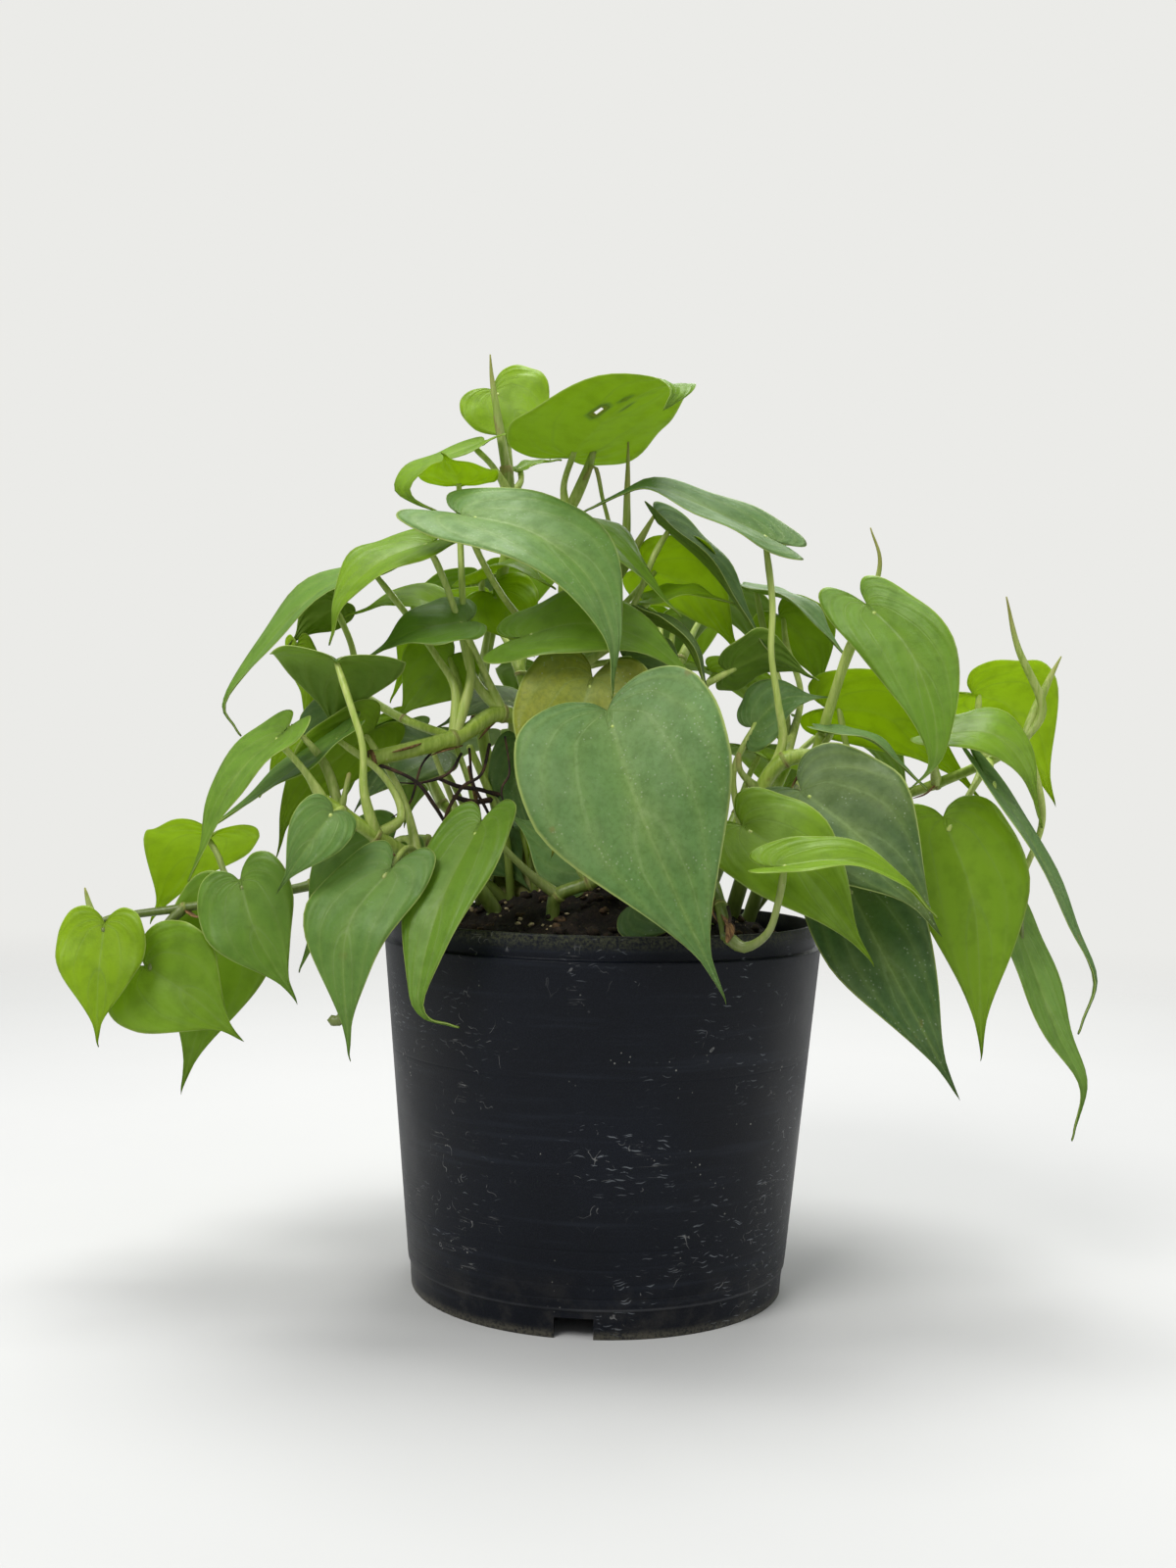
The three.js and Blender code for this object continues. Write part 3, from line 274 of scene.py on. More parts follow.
CUT_STEM = [
    stem(3.3, 3.1, [(-8, 176, 2), (-20, 208, -8), (-41, 221, -18), (-60, 211, -30), (-92, 202, -40)],
         root=(-4, 6), cut=True),
    stem(1.8, 1.6, [(-80, 218, -14), (-98, 228, -6)], on=(0, 3)),
    leaf((0, 3), 32, 0.15, (0, 0.3, 0.95), [(-54, 235, -28), (-57, 255, -24), (-59, 285, -20)],
         [(-60, 311, -16), (-62, 316, -30), (-66, 322, -44)]),
    leaf((0, 2), 38, 0.3, (-0.35, -0.6, 0.75), [(-53, 235, -22), (-60, 259, -26), (-68, 279, -30)],
         [(-70, 288, -34), (-90, 280, -46), (-105, 265, -54), (-109, 250, -56)]),
    leaf((0, 3), 40, 0.55, (-0.5, -0.4, 0.75), [(-60, 230, -28), (-67, 242, -24), (-78, 257, -20)],
         [(-88, 278, -18), (-116, 266, -26), (-142, 236, -32), (-151, 222, -34), (-146, 213, -34)]),
    leaf((0, 2), 34, 0.55, (-0.1, -0.6, 0.75), [(-50, 240, -24)],
         [(-56, 257, -30), (-76, 253, -34), (-93, 243, -34)]),
    leaf((0, 3), 32, 0.3, (0.2, -0.8, 0.5), [(-58, 228, -20)],
         [(-61, 244, -14), (-73, 231, -12), (-82, 218, -12)]),
    leaf((0, 2), 30, 0.15, (-0.2, -0.5, 0.85), [(-50, 238, -12)],
         [(-60, 258, -6), (-78, 266, -6), (-101, 259, -8)]),
    leaf((1, 1), 16, 0.2, (0.3, 0.6, 0.6), [(-108, 240, -2)],
         [(-122, 246, 0), (-118, 230, 2), (-119, 215, 2)]),
    leaf((1, 1), 24, 0.95, (0.1, -0.8, 0.5), [],
         [(-106, 220, -2), (-114, 208, 2), (-120, 195, 2)]),
    leaf((1, 1), 22, 0.95, (0, 0.6, 0.7), [(-101, 246, -2)],
         [(-107, 263, -2), (-116, 256, 2), (-125, 247, 2)]),
    leaf((0, 1), 8, 0.12, (0.2, -1, 0.1), [(-27, 200, -2)],
         [(-28, 189, 2), (-29, 176, 3), (-30, 163, 3)]),
    bit("root", 0.75, [(-91, 200, -40), (-84, 198, -42), (-74, 193, -40), (-67, 184, -36), (-60, 174, -30),
        (-51, 168, -24)]),
    bit("root", 0.6, [(-57, 205, -26), (-62, 197, -30), (-73, 193, -32), (-81, 193, -34)]),
    bit("root", 0.7, [(-46, 209, -16), (-49, 197, -20), (-57, 191, -22), (-63, 177, -20), (-56, 162, -14)]),
    bit("root", 0.6, [(-54, 207, -20), (-52, 193, -12), (-45, 179, -6), (-43, 162, -4)]),
    bit("root", 0.5, [(-69, 205, -30), (-73, 199, -36), (-77, 185, -34), (-84, 179, -30)]),
    bit("root", 0.45, [(-40, 212, -14), (-38, 198, -18), (-41, 190, -20), (-36, 176, -18)]),
    bit("sheath", 2.6, [(-72, 209, -34), (-77, 207, -38), (-84, 205, -42)]),
    bit("sheath", 2.2, [(-57, 208, -28), (-64, 206, -32), (-69, 204, -33)]),
    bit("sheath", 2.4, [(-41, 221, -16), (-46, 216, -20), (-50, 211, -20)]),
]

TOP_LEFT = [
    stem(2.8, 2.2, [(-36, 160, 22), (-44, 190, 24), (-50, 225, 26), (-45, 262, 24), (-39, 296, 20),
         (-40, 307, 18)], root=(-28, 22)),
    spike((0, 4), 3, [(-40, 307, 18), (-42, 318, 17)], end=3.2),
    spike((0, 5), 3, [(-43, 324, 16), (-46, 338, 16)], end=1.6),
    spike((0, 5), 2.2, [(-45, 335, 16), (-48, 352, 16), (-49, 362, 16)]),
    leaf((0, 4), 40, 0.15, (0, -0.9, 0.4), [(-41, 325, 24), (-45, 342, 30)],
         [(-47, 348, 28), (-36, 337, 24), (-26, 324, 22)]),
    leaf((0, 5), 32, 0.3, (-0.5, -0.5, 0.75), [(-47, 318, 10)],
         [(-52, 327, 14), (-66, 321, 8), (-78, 314, 4), (-82, 308, 2), (-76, 303, 2), (-69, 300, 2)],
         lobe=0.7),
    leaf((0, 5), 14, 0.3, (0, -0.3, 0.95), [(-36, 312, 20)],
         [(-37, 317, 25), (-30, 320, 28), (-23, 321, 30)]),
    leaf((0, 3), 36, 0.2, (0, -0.3, 0.9), [(-50, 268, 18)],
         [(-52, 273, 12), (-40, 280, 4), (-24, 272, -2)]),
    leaf((0, 2), 34, 0.15, (0, -0.8, 0.5), [(-48, 250, 18)],
         [(-46, 268, 16), (-38, 258, 12), (-31, 246, 14)]),
    leaf((0, 0), 29, 0.85, (0.1, -0.9, 0.4), [(-44, 168, 14)],
         [(-48, 173, 8), (-40, 164, 6), (-31, 154, 6)]),
    leaf((0, 0), 38, 0.95, (-0.3, -0.9, 0.3), [(-52, 178, 22), (-62, 196, 20)],
         [(-70, 207, 18), (-84, 202, 12), (-97, 184, 10)]),
    leaf((0, 1), 28, 0.95, (0, -0.5, 0.85), [(-38, 212, 20)],
         [(-37, 226, 16), (-50, 225, 10), (-65, 216, 8)]),
    bit("sheath", 2.0, [(-50, 225, 26), (-53, 219, 20), (-55, 213, 18)]),
]

TOP_CENTRE = [
    stem(2.8, 2.2, [(-14, 165, 26), (-16, 205, 22), (-18, 245, 18), (-18, 285, 14), (-17, 300, 12)],
         root=(-8, 30)),
    spike((0, 4), 2.8, [(-10, 317, 8), (-6, 331, 4)]),
    spike((0, 3), 1.4, [(-1, 289, 8), (-4, 308, 6), (-7, 319, 4), (-11, 314, 3)], end=1),
    spike((0, 2), 2.6, [(-4, 262, 12), (5, 285, 5), (6, 310, 2), (6, 331, 0)]),
    spike((0, 2), 3.4, [(-7, 262, 10), (6, 281, 6), (19, 304, 6)]),
    leaf((0, 4), 60, 0.42, (0, 0.1, 1), [(-19, 311, 12)],
         [(-17, 323, 6), (-3, 338, -32), (12, 349, -54), (23, 352, -67), (26, 349, -74), (22, 344, -77)],
         lobe=0.75, taper=0, hole=(0.2, 0.61), dots=[(0.08, 0.67), (-0.08, 0.64)]),
    leaf((0, 2), 50, 0.72, (0.3, -0.85, 0.55), [(-38, 262, -12), (-53, 286, -36)],
         [(-59, 299, -46), (-32, 293, -58), (-10, 277, -68), (1, 254, -74), (2, 232, -76)]),
    leaf((0, 3), 38, 0.5, (0.35, -0.35, 0.85), [(-24, 296, -8)],
         [(-25, 300, -20), (-5, 293, -28), (12, 277, -36), (26, 263, -40)]),
]

CENTRE = [
    stem(2.8, 2.2, [(8, 165, -10), (2, 192, -14), (-4, 220, -18), (-12, 240, -20)], root=(12, -6)),
    leaf((0, 3), 40, 0.4, (0.05, -0.7, 0.7), [(-26, 246, -32)],
         [(-35, 251, -44), (-12, 257, -50), (12, 252, -52), (38, 233, -50)]),
    leaf((0, 2), 50, 1.3, (-0.1, -1, 0.25), [(-4, 232, -36)],
         [(-6, 236, -54), (-14, 208, -62), (-20, 168, -60)]),
    leaf((0, 3), 26, 0.95, (0.3, -0.7, 0.6), [],
         [(7, 244, -20), (21, 243, -22), (32, 229, -22)]),
    leaf((0, 3), 16, 0.95, (0.7, -0.3, 0.6), [(4, 250, -26)],
         [(14, 260, -34), (30, 251, -40), (41, 228, -40)], fold=35),
    leaf((0, 3), 30, 0.9, (0.55, -0.35, 0.75), [(0, 252, -14), (10, 266, -12), (17, 284, -10)],
         [(20, 297, -8), (41, 278, -14), (62, 249, -16)], fold=32),
    leaf((0, 3), 44, 0.2, (0.2, 0.6, 0.75), [(-2, 256, -2)],
         [(15, 279, 12), (34, 272, 6), (52, 246, 4)]),
    leaf((0, 3), 26, 0.3, (0, -0.4, 0.9), [(2, 254, -10)],
         [(15, 267, -2), (31, 270, -8), (46, 267, -12)]),
    leaf((0, 2), 30, 0.7, (0, 0.6, 0.7), [(14, 226, -14), (32, 231, -12)],
         [(48, 240, -10), (63, 246, -11), (80, 238, -12)]),
    leaf((0, 0), 38, 0.8, (0.1, -0.8, 0.5), [],
         [(-7, 162, -14), (-22, 171, -16), (-36, 180, -16)]),
    leaf((0, 1), 24, 0.9, (-0.1, -0.9, 0.3), [(-14, 208, -4)],
         [(-34, 209, 2), (-35, 192, 0), (-28, 170, -2)]),
    leaf((0, 0), 32, 1.5, (0, -1, 0.2), [(-14, 168, 4)],
         [(-21, 166, 10), (-34, 157, 10), (-48, 147, 8)]),
    bit("root", 0.5, [(4, 186, -14), (10, 176, -20), (8, 164, -18), (13, 150, -16)]),
    bit("stalk", 1.7, [(-54, 208, -4), (-44, 186, 0), (-39, 172, 2), (-37, 156, 4), (-36, 144, 6)],
        skin=STEM),
    bit("stalk", 1.3, [(-68, 205, -2), (-60, 186, 2), (-55, 173, 4), (-51, 160, 6), (-49, 146, 8)],
        skin=PETIOLE),
    bit("stalk", 0.9, [(-54, 200, 0), (-50, 183, 2), (-48, 168, 4), (-46, 150, 6)], skin=BROWN),
    bit("stalk", 0.9, [(-66, 195, -6), (-58, 192, -4), (-50, 191, -2), (-42, 189, -2)], skin=ROOT),
    bit("stalk", 1.1, [(-60, 188, -4), (-52, 186, -3), (-45, 187, -2)], skin=ROOT),
    bit("stalk", 1.6, [(-35, 199, 4), (-32, 176, 6), (-28, 158, 8), (-26, 144, 8)], skin=STEM),
    bit("stalk", 2.0, [(-23, 174, 6), (-19, 158, 8), (-18, 144, 8)], skin=STEM),
    bit("stalk", 1.8, [(-11, 172, 10), (-12, 156, 10), (-12, 142, 10)], skin=STEM),
    bit("stalk", 2.0, [(-43, 174, 10), (-38, 158, 12), (-36, 144, 12)], skin=STEM),
    bit("stalk", 1.8, [(-34, 168, 14), (-31, 154, 14), (-30, 142, 14)], skin=STEM),
]

FRONT = [
    stem(2.7, 2.3, [(-18, 150, -44), (-6, 155, -46), (9, 162, -48), (20, 168, -50)], root=(-19, -42)),
    spike((0, 1), 1.2, [(-10, 160, -44), (-12, 169, -42)]),
    leaf((0, 3), 75, 0.82, (-0.1, -0.9, 0.45), [(19, 188, -60), (9, 212, -74)],
         [(0, 223, -82), (12, 188, -97), (30, 148, -103), (48, 112, -100)], lobe=0.5, taper=1.3),
    leaf((0, 0), 33, 0.5, (-0.4, -0.9, 0.3), [(-29, 158, -46), (-42, 170, -50)],
         [(-49, 178, -58), (-64, 146, -76), (-72, 112, -86), (-69, 101, -88), (-59, 98, -88)], lobe=0.7),
    leaf((0, 3), 32, 0.92, (0, -0.85, 0.55), [(24, 160, -42), (14, 156, -50)],
         [(12, 147, -58), (26, 146, -60), (40, 141, -62)]),
]

RIGHT_CUT = [
    stem(3.1, 2.9, [(57, 168, -14), (61, 192, -22), (70, 205, -25), (86, 207, -26)], root=(50, -6),
         cut=True),
    spike((0, 1), 2.4, [(53, 200, -28), (52, 207, -29)], end=1.2),
    leaf((0, 1), 40, 0.82, (0, -0.45, 0.9), [(69, 211, -24), (67, 228, -28), (64, 247, -28),
         (64, 267, -27)],
         [(65, 291, -26), (41, 302, -28), (17, 311, -24), (5, 309, -20), (-9, 302, -18)]),
    leaf((0, 2), 38, 0.85, (0.4, -0.3, 0.85), [(70, 226, 0), (62, 252, 12)],
         [(55, 272, 14), (73, 267, 2), (93, 247, -6)]),
    leaf((0, 2), 32, 0.5, (0.2, 0.7, 0.6), [(76, 230, 4), (70, 250, 16)],
         [(67, 262, 22), (80, 250, 20), (84, 232, 20)]),
    leaf((0, 0), 28, 0.8, (-0.1, -0.85, 0.5), [(50, 198, -10)],
         [(57, 218, -8), (69, 229, -13), (84, 230, -15)]),
]

RIGHT = [
    stem(2.9, 2.5, [(66, 168, 4), (76, 190, -8), (82, 206, -12), (85, 215, -14)], root=(58, 10)),
    spike((0, 3), 2, [(92, 240, -12), (101, 264, -16), (106, 283, -17), (102, 297, -17)]),
    leaf((0, 3), 35, 0.45, (-0.35, -0.8, 0.45), [(88, 229, -20), (95, 252, -26)],
         [(101, 267, -34), (117, 251, -44), (127, 230, -50), (130, 212, -52), (128, 203, -52),
         (120, 195, -52)]),
    leaf((0, 2), 20, 0.85, (0.1, -0.2, 1), [],
         [(86, 217, -24), (104, 214, -30), (124, 197, -34)]),
    leaf((0, 1), 58, 0.98, (-0.2, -0.8, 0.55), [(76, 196, -24)],
         [(77, 193, -42), (101, 175, -58), (121, 155, -67), (131, 140, -69)]),
    leaf((0, 0), 43, 0.96, (0, -0.95, 0.3), [(82, 172, -18)],
         [(95, 158, -38), (116, 119, -54), (140, 76, -56)]),
    bit("root", 0.7, [(129, 123, -50), (127, 119, -52), (125, 117, -52), (127, 114, -52), (126, 111, -52),
        (127, 109, -52)]),
    bit("root", 0.5, [(76, 190, -8), (70, 182, -14), (71, 172, -12), (66, 160, -8)]),
    bit("sheath", 2.6, [(78, 203, -14), (75, 198, -20), (73, 194, -22)]),
    bit("sheath", 1.8, [(72, 188, -4), (70, 182, -8), (71, 177, -8)]),
]

FRONT_RIGHT = [
    stem(2.4, 2.1, [(42, 156, -58), (46, 147, -76), (49, 135, -85)], root=(36, -50)),
    leaf((0, 0), 40, 0.28, (-0.2, -0.8, 0.6), [(46, 170, -64)],
         [(54, 179, -70), (78, 162, -78), (105, 128, -80)]),
    leaf((0, 2), 24, 0.32, (0.05, -0.5, 0.85), [(56, 131, -88), (65, 137, -92), (69, 150, -94)],
         [(67, 163, -95), (94, 166, -95), (117, 158, -95), (129, 147, -94)], fold=30),
    bit("root", 0.6, [(49, 147, -80), (50, 142, -84), (48, 138, -86), (50, 134, -86)]),
    bit("root", 0.5, [(46, 143, -80), (51, 140, -84), (52, 136, -86)]),
    bit("sheath", 2.2, [(47, 144, -80), (50, 139, -86), (49, 133, -90)]),
    bit("sheath", 1.6, [(44, 150, -74), (43, 145, -78), (45, 141, -80)]),
]

FAR_RIGHT = [
    stem(2.7, 1.8, [(84, 176, 18), (106, 188, 4), (130, 197, -10), (150, 206, -20), (164, 214, -24)],
         root=(60, 34)),
    spike((0, 4), 2, [(171, 228, -24), (161, 251, -26), (156, 271, -28)]),
    spike((0, 4), 2.3, [(168, 226, -20), (174, 240, -18), (178, 248, -18)]),
    leaf((0, 3), 47, 0.35, (-0.05, -0.95, 0.35), [(143, 193, -28)],
         [(133, 184, -32), (146, 148, -35), (150, 92, -35)], lobe=0.5),
    leaf((0, 1), 42, 0.12, (0.3, 0.7, 0.65), [(96, 206, 10)],
         [(87, 226, 14), (108, 224, 4), (128, 211, -8), (147, 192, -16)]),
    leaf((0, 3), 46, 0.03, (0.1, 0.9, 0.4), [(146, 220, -10)],
         [(143, 233, -2), (160, 226, 8), (176, 192, 12)]),
    leaf((0, 2), 32, 0.35, (0.2, -0.65, 0.7), [(129, 209, -26)],
         [(132, 217, -36), (152, 217, -42), (165, 203, -44), (171, 184, -44)]),
    leaf((0, 3), 22, 0.85, (0.7, -0.45, 0.55), [],
         [(149, 201, -40), (166, 178, -50), (184, 143, -54), (194, 121, -55), (189, 103, -55)]),
    leaf((0, 4), 23, 0.6, (0.5, -0.75, 0.45), [(172, 185, -12), (164, 158, -16)],
         [(163, 142, -22), (179, 101, -30), (190, 79, -32), (187, 61, -32)]),
    bit("sheath", 1.8, [(130, 197, -10), (126, 193, -14), (121, 191, -15)]),
]

# The vines that the photo shows, by the name of their CAD node
SEEN_VINES = dict(
    vine_left_low=LEFT_LOW,
    vine_far_left=FAR_LEFT,
    vine_cut_stem=CUT_STEM,
    vine_top_left=TOP_LEFT,
    vine_top_centre=TOP_CENTRE,
    vine_centre=CENTRE,
    vine_front=FRONT,
    vine_right_cut=RIGHT_CUT,
    vine_right=RIGHT,
    vine_front_right=FRONT_RIGHT,
    vine_far_right=FAR_RIGHT,
)

# The back and sides: each vine is given by its bearing round the pot, how far it reaches,
# and the heights of its first and last nodes
BACK_VINES = [
    dict(bearing=34, reach=96, base=158, height=193, size=50, seed=20),
    dict(bearing=64, reach=70, base=190, height=250, size=54, seed=18),
    dict(bearing=94, reach=99, base=158, height=206, size=54, seed=49),
    dict(bearing=124, reach=69, base=192, height=260, size=54, seed=57),
    dict(bearing=154, reach=101, base=158, height=196, size=50, seed=56),
]
BACK_ROOT_RADIUS = 50
BACK_FIRST_NODE = 52
BACK_STEM_RADIUS = 2.7
BACK_STEM_END = 1.8
# How far round an arch the stem's nodes go, in radians, and how far they lie to its sides
BACK_ARCH = 1.9
BACK_SWAY = 4
BACK_LEAVES = 4
# How far a leaf turns from the stem's bearing, in degrees, and how much less it does at the stem's end
BACK_TURN = 30
BACK_TURN_LOSS = 16
BACK_TURN_SPREAD = 10
BACK_PETIOLE = 20
BACK_PETIOLE_RISE = 34
BACK_RISE_LOSS = 22
BACK_RISE_SPREAD = 14
# A leaf's length as a share of the vine's size, at the least and beyond that, and width by length
BACK_LENGTH = 0.85
BACK_LENGTH_SPREAD = 0.35
BACK_WIDTH = 0.82
# The midrib: how far out and how far down, as shares of its leaf's length
BACK_DROOP = [(0, 0), (0.45, 0.16), (0.78, 0.62)]


# Curves and surfaces


def seen(point):
    """The place in space of a point written as (across, up, back)."""
    across, up, back = point
    share = (back - EYE[1]) / -EYE[1]
    return np.array([EYE[0] + (across - EYE[0]) * share, back, EYE[2] + (up - EYE[2]) * share])


def unit(vectors):
    """Vectors at length 1."""
    vectors = np.asarray(vectors, float)
    return vectors / np.maximum(np.linalg.norm(vectors, axis=-1, keepdims=True), 1e-9)


def curve(points, places):
    """Points and directions of a smooth curve through points, at places from 0 to 1."""
    given = np.asarray(points, float)
    given = np.vstack([2 * given[0] - given[1], given, 2 * given[-1] - given[-2]])
    spans = len(points) - 1
    where = np.clip(places, 0, 1) * spans
    i = np.minimum(where.astype(int), spans - 1)
    w = (where - i)[:, None]
    before, start, end, after = given[i], given[i + 1], given[i + 2], given[i + 3]
    leave, arrive = (end - before) / 2, (after - start) / 2
    square = 3 * (end - start) - 2 * leave - arrive
    cube = 2 * (start - end) + leave + arrive
    position = start + w * (leave + w * (square + w * cube))
    return position, unit(leave + w * (2 * square + w * 3 * cube))


def even_places(points, count):
    """count places on a curve that are an equal distance apart, and the curve's length."""
    places = np.linspace(0, 1, CURVE_SAMPLES)
    steps = np.linalg.norm(np.diff(curve(points, places)[0], axis=0), axis=1)
    reached = np.concatenate([[0], np.cumsum(steps)])
    return np.interp(np.linspace(0, reached[-1], count), reached, places), reached[-1]


class LeafSurface:
    """The surface of a leaf: its midrib runs along a curve, and its blade stands out to both sides."""

    def __init__(self, row):
        self.rib = row["rib"]
        self.places, self.length = even_places(self.rib, CURVE_SAMPLES)
        self.half_width = row["width"] / 2
        self.fold = math.radians(row.get("fold", FOLD_DEGREES))
        self.lobe = row.get("lobe", 1)
        self.phase = row["phase"]
        self.curl = DRIP_CURL * math.sin(2 * np.pi * DRIP_CURL_CYCLES * self.phase + 1)
        chord = unit(self.rib[-1] - self.rib[0])
        self.across = unit(np.cross(chord, row["face"]))

    def at(self, across, along):
        """Points at a share across (-1 to 1) and a share along (below 0 in the lobes)."""
        place = np.interp(np.clip(along, 0, 1), np.linspace(0, 1, CURVE_SAMPLES), self.places)
        point, tangent = curve(self.rib, place)
        up = unit(np.cross(self.across, tangent))
        back = np.minimum(along, 0) * self.lobe * self.length
        drip = np.maximum(along - 1, 0) * self.length
        crease = np.hypot(across, CREASE_SOFTNESS) - CREASE_SOFTNESS
        ripple = np.sin(2 * np.pi * (RIPPLES * along + self.phase) + across)
        lift = crease * math.sin(self.fold) - CAMBER * across**2 + WAVE * across**2 * ripple
        sideways = across * self.half_width * math.cos(self.fold)
        point = point + back[:, None] * tangent + sideways[:, None] * self.across
        point = point + drip[:, None] * tangent + (self.curl * drip**2)[:, None] * self.across
        return point + (self.half_width * lift - DRIP_DROOP * drip**2)[:, None] * up

    def normal(self, across, along):
        """Directions out of the upper face."""
        step = 0.02
        sideways = self.at(across + step, along) - self.at(across - step, along)
        forwards = self.at(across, along + step) - self.at(across, along - step)
        return unit(np.cross(sideways, forwards))


def soil_height(x, y):
    """The soil's surface: a low mound with lumps, level where it meets the pot."""
    r = np.hypot(x, y)
    mound = SOIL_MOUND * np.maximum(0, 1 - (r / SOIL_RADIUS) ** 2)
    lumps = np.sin(x * 0.21 + 1) * np.cos(y * 0.19) + 0.6 * np.sin(x * 0.47 - y * 0.39)
    fade = np.clip((SOIL_RADIUS - 4 - r) / 8, 0, 1)
    return SOIL_EDGE_HEIGHT + mound + SOIL_RELIEF * lumps * fade


def litter_height(x, y):
    """The top of the loose bark and litter that lies heaped between the stems."""
    heap = LITTER * np.exp(-((np.hypot(x, y + LITTER_FORWARD) / LITTER_RADIUS) ** 2))
    return soil_height(x, y) + heap * (1 + 0.25 * np.sin(0.13 * x + 2) * np.cos(0.17 * y))


# Vines as places in space


def every(rows, kind):
    """The rows of a vine that are of a kind."""
    return [row for row in rows if row["kind"] == kind]


def placed(rows):
    """A vine's rows, with their (across, up, back) points turned into places in space."""
    moved = []
    for row in rows:
        points = {key: [seen(point) for point in row[key]] for key in ("path", "stalk", "rib") if key in row}
        moved.append(dict(row, **points))
    for i, row in enumerate(every(moved, "leaf")):
        row["phase"] = i * PHASE_STEP % 1
    return moved


def seeded(seed):
    """A simple source of numbers from 0 to 1 that repeats for the same seed."""
    state = seed
    while True:
        state = (state * 16807) % 2147483647
        yield state / 2147483647


def around(bearing, out, left, up):
    """A point at a distance out from the pot's axis, a distance to the left of that, and a height."""
    angle = math.radians(bearing)
    x = math.cos(angle) * out - math.sin(angle) * left
    y = math.sin(angle) * out + math.cos(angle) * left
    return np.array([x, y, up])


def back_vine(index, bearing, reach, base, height, size, seed):
    """One vine of the back: its leaves stand left and right by turns and droop from rising petioles."""
    draw = seeded(seed * 1013)
    shares = [(i + 0.4) / (BACK_LEAVES - 0.6) for i in range(BACK_LEAVES)]
    path = []
    for i, share in enumerate(shares):
        out = BACK_FIRST_NODE + (reach - BACK_FIRST_NODE) * share
        up = base + (height - base) * math.sin(share * BACK_ARCH)
        path.append(around(bearing, out, BACK_SWAY if i % 2 else -BACK_SWAY, up))
    root = around(bearing, BACK_ROOT_RADIUS, 0, 0)
    rows = [stem(BACK_STEM_RADIUS, BACK_STEM_END, path, root=(root[0], root[1]))]
    for i, node in enumerate(path):
        side = 1 if i % 2 else -1
        turn = bearing + side * (BACK_TURN - BACK_TURN_LOSS * shares[i])
        turn += BACK_TURN_SPREAD * (next(draw) - 0.5)
        length = size * (BACK_LENGTH + BACK_LENGTH_SPREAD * next(draw))
        rise = BACK_PETIOLE_RISE - BACK_RISE_LOSS * shares[i] + BACK_RISE_SPREAD * next(draw)
        rib = [
            node + around(turn, BACK_PETIOLE + length * out, 0, rise - length * down)
            for out, down in BACK_DROOP
        ]
        stalk = [node + around(turn, BACK_PETIOLE / 2, 0, rise * 0.55)]
        face = around(turn, 0.5, 0, 0.8)
        # The ages are spread from 0.3 to 0.9, and neighbours differ
        age = 0.3 + 0.6 * ((i * 0.37 + index * 0.23) % 1)
        rows.append(leaf((0, i), length * BACK_WIDTH, age, face, stalk, rib, phase=next(draw)))
    return rows


# Meshes


class Sculpture:
    """A mesh that grows by grids and tubes, with what its finish needs at each point."""

    def __init__(self):
        self.points = []
        self.faces = []
        self.slots = []
        self.uvs = []
        self.ages = []
        self.seeds = []
        self.count = 0

    def add(self, points, faces, slots, uvs, seed, ages=0.0):
        """Points in millimetres, faces by point numbers with a material each, and a uv for each point."""
        self.points.append(points)
        self.faces.extend(tuple(n + self.count for n in face) for face in faces)
        self.slots.extend(slots)
        self.uvs.append(uvs)
        self.ages.append(np.broadcast_to(ages, len(points)))
        self.seeds.append(np.full(len(points), seed))
        self.count += len(points)

    def finish(self, name, materials, node, slot):
        """The mesh as a piece of the object, which stands for a CAD node."""
        mesh = bpy.data.meshes.new(name)
        points = np.concatenate(self.points) * MM
        mesh.from_pydata(points.tolist(), [], self.faces)
        for material in materials:
            mesh.materials.append(material)
        mesh.polygons.foreach_set("material_index", self.slots)
        mesh.polygons.foreach_set("use_smooth", [True] * len(mesh.polygons))
        corners = np.empty(len(mesh.loops), int)
        mesh.loops.foreach_get("vertex_index", corners)
        layer = mesh.uv_layers.new(name="blade")
        layer.data.foreach_set("uv", np.concatenate(self.uvs)[corners].ravel())
        for label, values in (("age", self.ages), ("seed", self.seeds)):
            attribute = mesh.attributes.new(label, "FLOAT", "POINT")
            attribute.data.foreach_set("value", np.concatenate(values))
        mesh.update()
        piece = bpy.data.objects.new(name, mesh)
        bpy.context.scene.collection.objects.link(piece)
        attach(piece, "root")
        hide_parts(node)


def without_repeats(ring):
    """A face's point numbers, where neighbours that are the same point count once."""
    return [n for k, n in enumerate(ring) if n != ring[k - 1]]


